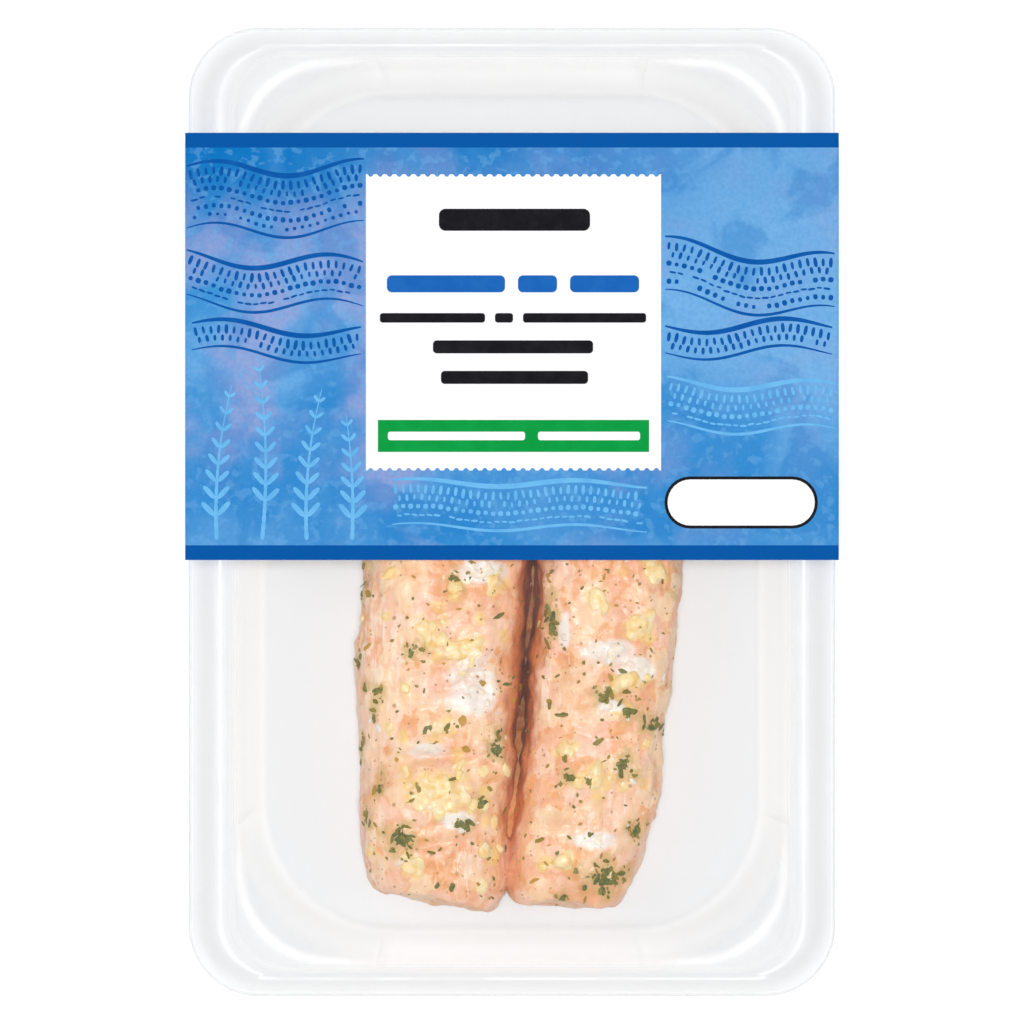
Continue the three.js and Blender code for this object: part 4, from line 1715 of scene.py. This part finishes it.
class Toppings:
    """Everything strewn on the fillets, each kind one piece made of many turned copies."""

    steepest = 0.12

    def __init__(self, fillets: list[Fillet]) -> None:
        """Hold the fillets and model the small shapes."""
        self.fillets = fillets
        leaves = ((1, 9), (2, 11), (3, 7), (4, 10), (8, 6), (9, 8))
        self.leaves = [self._leaf(seed, sides) for seed, sides in leaves]
        self.lumps = [self._lump(seed) for seed in (5, 6, 7)]

    @staticmethod
    def _leaf(seed: int, sides: int) -> bpy.types.Object:
        """Return one thin folded scrap of leaf, 2 units long, with torn edges."""
        clear_selection()
        bpy.ops.mesh.primitive_circle_add(vertices=sides, radius=1, fill_type="TRIFAN")
        leaf = bpy.context.object
        bpy.ops.object.mode_set(mode="EDIT")
        bpy.ops.mesh.select_all(action="SELECT")
        bpy.ops.transform.vertex_random(offset=0.42, seed=seed)
        select_where(leaf, "verts", lambda vertex: len(vertex.link_edges) > 3)
        bpy.ops.transform.translate(value=(0.15, 0.1, 0.35))
        bpy.ops.object.mode_set(mode="OBJECT")
        apply_modifier(leaf, "SOLIDIFY", thickness=0.3, offset=0.0)
        return leaf

    @staticmethod
    def _lump(seed: int) -> bpy.types.Object:
        """Return one soft irregular crumb, 2 units across."""
        clear_selection()
        bpy.ops.mesh.primitive_ico_sphere_add(subdivisions=2, radius=1)
        lump = bpy.context.object
        bpy.ops.object.mode_set(mode="EDIT")
        bpy.ops.mesh.select_all(action="SELECT")
        bpy.ops.transform.vertex_random(offset=0.4, seed=seed)
        bpy.ops.mesh.vertices_smooth(factor=0.3)
        bpy.ops.object.mode_set(mode="OBJECT")
        return lump

    @staticmethod
    def _places(scatter: Scatter, fillet: Fillet, draw: random.Random) -> list[tuple[float, float, float]]:
        """Draw where one kind lies on one fillet.

        Args:
            scatter: The kind.
            fillet: The fillet.
            draw: The seeded draw.

        Returns:
            Each copy's x and y in metres and its tone.
        """
        places = []
        for patch in getattr(fillet, scatter.patches):
            for _ in range(round(patch.amount * scatter.per_patch)):
                angle = draw.uniform(0, 2 * math.pi)
                reach = min(abs(draw.gauss(0, 0.55)), 1.4)
                x = (patch.x + math.cos(angle) * reach * patch.wide / 2) * MM
                y = (patch.y + math.sin(angle) * reach * patch.long / 2) * MM
                places.append((x, y, draw.uniform(*scatter.patch_tone)))
        low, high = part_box(fillet.node)
        for _ in range(scatter.loose):
            x = draw.uniform(low.x, high.x)
            y = draw.uniform(low.y, high.y)
            places.append((x, y, draw.uniform(*scatter.loose_tone)))
        return places

    def lay(
        self, scatter: Scatter, shapes: list[bpy.types.Object], finish: bpy.types.Material,
    ) -> bpy.types.Object:
        """Lay every copy of one kind on both fillets as one piece.

        Args:
            scatter: The kind.
            shapes: The shapes that it is drawn from.
            finish: Its material.

        Returns:
            The piece.
        """
        draw = random.Random(scatter.name)
        copies = []
        sizes = Vector((scatter.length, scatter.width, scatter.thickness)) / 2 * MM
        for fillet in self.fillets:
            for x, y, tone in self._places(scatter, fillet, draw):
                found = fillet.touch(x, y)
                size = draw.uniform(scatter.least, scatter.most)
                stretch = draw.uniform(0.8, 1.25)
                turn = Matrix.Rotation(draw.uniform(0, 2 * math.pi), 3, "Z").to_quaternion()
                tip = Matrix.Rotation(draw.uniform(-scatter.tilt, scatter.tilt), 3, "X").to_quaternion()
                lift = draw.uniform(-scatter.sink, scatter.rise)
                shape = draw.choice(shapes)
                if found is None or found[1].z < self.steepest:
                    continue
                place, normal = found
                lying = normal.to_track_quat("Z", "Y") @ turn @ tip
                scale = Vector((sizes.x * stretch, sizes.y / stretch, sizes.z)) * size
                moved = Matrix.LocRotScale(place + normal * lift * MM, lying, scale)
                copies.append(Copied(shape, moved, tone))
        piece = join_copies(scatter.name, copies)
        if scatter.merge:
            self._melt(piece, copies, scatter.merge)
        piece.data.materials.append(finish)
        pick(piece)
        bpy.ops.object.shade_smooth_by_angle(angle=math.radians(60 if scatter.merge else 25))
        if scatter.mark:
            for fillet in self.fillets:
                spots = [copied.moved.translation for copied in copies]
                fillet.mark_near(scatter.mark, spots, scatter.mark_reach)
        return ride_pack(piece, Slot.SALMON)

    @staticmethod
    def _melt(piece: bpy.types.Object, copies: list[Copied], grain: float) -> None:
        """Melt copies that touch into soft lumps, and give each place the nearest copy's tone.

        Args:
            piece: The joined copies.
            copies: The same copies one by one.
            grain: How fine the new skin is, in millimetres.
        """
        apply_modifier(piece, "REMESH", mode="VOXEL", voxel_size=grain * MM)
        apply_modifier(piece, "SMOOTH", factor=0.5, iterations=5)
        tree = search_tree([copied.moved.translation for copied in copies])
        tones = [copies[tree.find(vertex.co)[1]].tone for vertex in piece.data.vertices]
        write_attribute(piece, "tone", np.array(tones))

    def put_away(self) -> None:
        """Remove the small shapes that the copies were made from."""
        for shape in self.leaves + self.lumps:
            bpy.data.objects.remove(shape)


# The studio


@dataclass
class Studio:
    """The floor, the lamps and the camera straight above the pack."""

    floor_gap: float = 0.4
    view_width: float = 204.8
    view_height: float = 30.0
    distance: float = 1500.0
    floor_size: float = 4000.0
    clear_layers: int = 24
    above_power: float = 2.2
    above_spread: float = 10.0

    def build(self, groups: SharedGroups) -> None:
        """Set up the floor, the lamps, the world and the camera."""
        self._lay_floor(groups)
        self._overhead_lamp()
        self._softbox("lamp_left", (-800, 100, 700), (500, 1300), 2.0)
        self._softbox("lamp_right", (800, -100, 700), (500, 1300), 1.5)
        world = bpy.data.worlds.new("studio_air")
        world.use_nodes = True
        background = world.node_tree.nodes["Background"]
        background.inputs["Color"].default_value = (1, 1, 1, 1)
        background.inputs["Strength"].default_value = 0.2
        scene = bpy.context.scene
        scene.world = world
        scene.view_settings.view_transform = "Standard"
        scene.cycles.transparent_max_bounces = self.clear_layers
        self._place_camera()

    def _lay_floor(self, groups: SharedGroups) -> None:
        """Lay the plain floor."""
        clear_selection()
        bpy.ops.mesh.primitive_plane_add(size=self.floor_size * MM, location=(0, 0, -self.floor_gap * MM))
        floor = bpy.context.object
        settle(floor, "studio_floor")
        floor.data.materials.append(StudioPaper().build(groups))

    def _overhead_lamp(self) -> None:
        """Hang the main lamp: even light from straight above, soft at its edges."""
        lamp = bpy.data.lights.new("lamp_above", "SUN")
        lamp.energy = self.above_power
        lamp.angle = math.radians(self.above_spread)
        new_object("lamp_above", lamp).location = (0, 0, 2)

    @staticmethod
    def _softbox(
        name: str, place: tuple[float, float, float], size: tuple[float, float], power: float,
    ) -> None:
        """Hang one soft lamp that looks at the pack.

        Args:
            name: The lamp's name.
            place: Where it hangs, in millimetres.
            size: Its width and height, in millimetres.
            power: Its power in watts.
        """
        lamp = bpy.data.lights.new(name, "AREA")
        lamp.shape = "RECTANGLE"
        lamp.size = size[0] * MM
        lamp.size_y = size[1] * MM
        lamp.energy = power
        stand = new_object(name, lamp)
        stand.location = Vector(place) * MM
        stand.rotation_euler = (-stand.location).to_track_quat("-Z", "Y").to_euler()

    def _place_camera(self) -> None:
        """Place the camera straight above, so that the picture is as wide as the view at the rim."""
        camera = bpy.data.cameras.new("camera_above")
        camera.sensor_width = 36
        camera.lens = camera.sensor_width * self.distance / self.view_width
        camera.clip_end = 20
        stand = new_object("camera_above", camera)
        stand.location = (0, 0, (self.view_height + self.distance) * MM)
        bpy.context.scene.camera = stand


def salmon_fillets() -> list[Fillet]:
    """Return the two fillets with the places of their toppings."""
    left = Fillet(
        name="salmon_left", node="fillet_left", groove_side=1, flank=0.85,
        herbs=[
            Patch(-22.2, -65.6, 6, 5, 30), Patch(-6.2, -58.8, 3, 4, 9), Patch(-10.6, -62.6, 4.4, 2, 9),
            Patch(-3.2, -47.8, 3, 6, 16), Patch(-27.0, -36.0, 4, 8, 9), Patch(-20.5, -28.0, 5, 5, 8),
            Patch(-11.0, -13.5, 5, 3, 9), Patch(-30.4, -15.0, 1.6, 5, 8), Patch(-26.5, -56.0, 2, 9, 7),
            Patch(-31.0, -31.0, 1.6, 6, 8), Patch(-30.2, -47.0, 1.5, 8, 7), Patch(-29.4, -62.0, 1.6, 6, 8),
        ],
        crumbs=[
            Patch(-14.0, -57.0, 19, 13, 64), Patch(-9.0, -27.6, 14, 7, 26), Patch(-5.4, -68.4, 6, 3.4, 9),
            Patch(-11.6, -15.4, 3, 4, 6), Patch(-17.0, -22.5, 3, 3, 4), Patch(-4.0, -14.0, 5, 6, 7),
            Patch(-21.0, -71.0, 6, 4, 6), Patch(-14.0, -44.0, 8, 3, 7),
        ],
        curds=[
            Patch(-8.6, -35.0, 9, 11, 16), Patch(-6.0, -12.0, 9, 4, 10), Patch(-17.0, -48.0, 6, 3, 6),
            Patch(-11.0, -62.0, 6, 3, 6),
        ],
        streaks=[Patch(-10.0, -72.0, 14, 8), Patch(-26.0, -30.0, 8, 24)],
        pulls=[
            Pull(-30, -64, 11, -1.0, 0.0), Pull(-27, -76, 8, -1.2, -2.2), Pull(-16, -79, 8, 0.0, -0.8),
            Pull(-5, -79, 7, 0.8, -3.0), Pull(-1, -66, 8, 0.5, 0.0), Pull(-2.5, -74, 5, 1.9, -0.4),
        ],
        creases=[Crease(-25, -49.5, -8, -48.5, 1.3, 0.6), Crease(-24, -68.0, -10, -66.0, 1.2, 0.5)],
    )
    right = Fillet(
        name="salmon_right", node="fillet_right", groove_side=-1, flank=0.3,
        herbs=[
            Patch(18.8, -73.0, 8.5, 7, 40), Patch(22.4, -50.8, 5, 7, 18), Patch(19.0, -37.0, 6, 4, 15),
            Patch(8.0, -22.6, 4, 11, 26), Patch(28.4, -43.0, 4, 5, 12), Patch(24.8, -64.2, 5, 4, 12),
            Patch(11.5, -53.5, 3, 3, 4), Patch(10.0, -78.0, 5, 2, 5), Patch(24.0, -40.0, 6, 2, 6),
        ],
        crumbs=[
            Patch(26.4, -22.6, 7, 7, 20), Patch(11.4, -47.8, 3.6, 3, 6), Patch(16.8, -53.6, 7, 4, 12),
            Patch(10.2, -70.2, 5, 3, 7), Patch(28.0, -12.0, 7, 6, 9), Patch(17.0, -17.0, 5, 5, 6),
            Patch(23.5, -34.0, 10, 5, 10),
        ],
        curds=[
            Patch(20.0, -28.0, 9, 5, 12), Patch(10.5, -24.0, 2, 6, 4), Patch(20.0, -39.0, 5, 2, 5),
            Patch(25.5, -32.0, 6, 4, 7),
            Patch(17.0, -66.0, 8, 3, 5),
        ],
        streaks=[Patch(19.0, -61.0, 16, 12), Patch(8.0, -36.0, 8, 14)],
        pulls=[
            Pull(1, -79, 6, -0.3, -2.0), Pull(15, -80, 8, 0.0, -1.0), Pull(24, -77, 7, 0.6, -2.2),
            Pull(31, -60, 9, 1.9, 0.0), Pull(1, -66, 8, -0.5, 0.0), Pull(0, -74, 5, -1.7, -0.6),
        ],
        creases=[Crease(15, -38.0, 31, -35.5, 1.5, 0.9), Crease(20, -56.0, 31, -60.0, 1.2, 0.6)],
    )
    return [left, right]


def strew_toppings(fillets: list[Fillet], groups: SharedGroups) -> None:
    """Lay the herbs, crumbs and curds on the fillets.

    Args:
        fillets: The fillets.
        groups: The shared effects.
    """
    bpy.context.view_layer.update()
    leaf = ToppingSkin(
        "herb_leaf", (srgb(196, 140, 30), srgb(144, 122, 26), srgb(100, 102, 26), srgb(68, 90, 44)),
        0.6, 0.1, srgb(168, 150, 66), 0.4, 1500.0,
    ).build(groups)
    crumb = ToppingSkin(
        "lemon_crumb", (srgb(254, 228, 184), srgb(252, 220, 160), srgb(250, 208, 134), srgb(240, 188, 98)),
        0.4, 0.22, srgb(254, 232, 196), 0.45,
    ).build(groups)
    curd = ToppingSkin(
        "pale_curd", (srgb(252, 240, 224), srgb(250, 236, 218), srgb(240, 234, 224), srgb(252, 226, 196)),
        0.45, 0.25, srgb(252, 218, 184), 0.7,
    ).build(groups)
    toppings = Toppings(fillets)
    kinds = (
        (Scatter(
            "pale_curds", "curds", 2.8, 2.0, 0.8, 0.4, 1.1, 0.35, -0.12, 1.3, 30, (0, 0.8), (0.5, 1),
            merge=0.3,
        ), toppings.lumps, curd),
        (Scatter(
            "lemon_crumbs", "crumbs", 3.3, 2.6, 0.95, 0.4, 1.2, 0.35, -0.1, 1.4, 45, (0, 0.9), (0, 0.9),
            merge=0.32, mark="lemon", mark_reach=1.45,
        ), toppings.lumps, crumb),
        (Scatter(
            "parsley", "herbs", 2.0, 1.4, 0.7, 0.35, 1.1, 0.12, 0.35, 0.9, 0, (0.4, 1), (0, 1), tilt=0.6,
            mark="herb", mark_reach=2.1,
        ), toppings.leaves, leaf),
        (Scatter(
            "herb_flakes", "herbs", 2.3, 1.3, 0.6, 0.4, 1.05, 0.14, 0.08, 0.08, 110, (0.1, 0.7), (0, 0.8),
            tilt=0.35,
        ), toppings.leaves, leaf),
        (Scatter(
            "herb_specks", "herbs", 0.95, 0.6, 0.4, 0.5, 1.1, 0.0, 0.1, 0.3, 170, (0.1, 0.9), (0, 0.8),
            tilt=0.3,
        ), toppings.leaves, leaf),
    )
    for scatter, shapes, finish in kinds:
        toppings.lay(scatter, shapes, finish)
    toppings.put_away()


def main() -> None:
    """Build the pack piece by piece, then the studio."""
    logging.basicConfig(level=logging.INFO, format="%(name)s %(message)s")
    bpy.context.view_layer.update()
    groups = SharedGroups()
    plastic = ClearPlastic("clear_plastic", srgb(180, 191, 200), 0.125, 0.02, 0.2)
    card = CardInk("plain_card", srgb(240, 238, 232), srgb(232, 229, 222), 0.7)
    inks = {
        "white": CardInk("ink_white", srgb(252, 253, 255), srgb(248, 249, 252)),
        "black": CardInk("ink_black", srgb(22, 22, 26), srgb(34, 34, 38)),
        "blue": CardInk("ink_blue", srgb(22, 98, 182), srgb(32, 106, 188)),
        "green": CardInk("ink_green", srgb(4, 152, 64), srgb(14, 160, 72)),
        "dark": CardInk("ink_dark_blue", srgb(2, 84, 164), srgb(14, 94, 174)),
        "light": CardInk("ink_light_blue", srgb(112, 188, 238), srgb(96, 174, 230)),
    }
    tray = ClearTray(plastic)
    tray.build(groups)
    LidFilm(SealedFilm(), tray.mouth()).build(groups)
    CardSleeve(WashedPrint(), card).build(groups)
    SleevePrint(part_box("sleeve")[1].z / MM, inks).build(groups)
    flesh = SalmonFlesh().build(groups)
    fillets = salmon_fillets()
    for fillet in fillets:
        fillet.build(flesh)
    # The dark folds in the groove are painted shade between the fillets.
    amber = ToppingSkin(
        "amber_juice", (srgb(104, 50, 12), srgb(150, 82, 26), srgb(194, 118, 48), srgb(222, 156, 86)),
        0.62, 0.1, srgb(184, 106, 44), 0.3,
    )
    GrooveShadeFolds(amber).build(groups)
    strew_toppings(fillets, groups)
    Studio().build(groups)


if __name__ == "__main__":
    main()
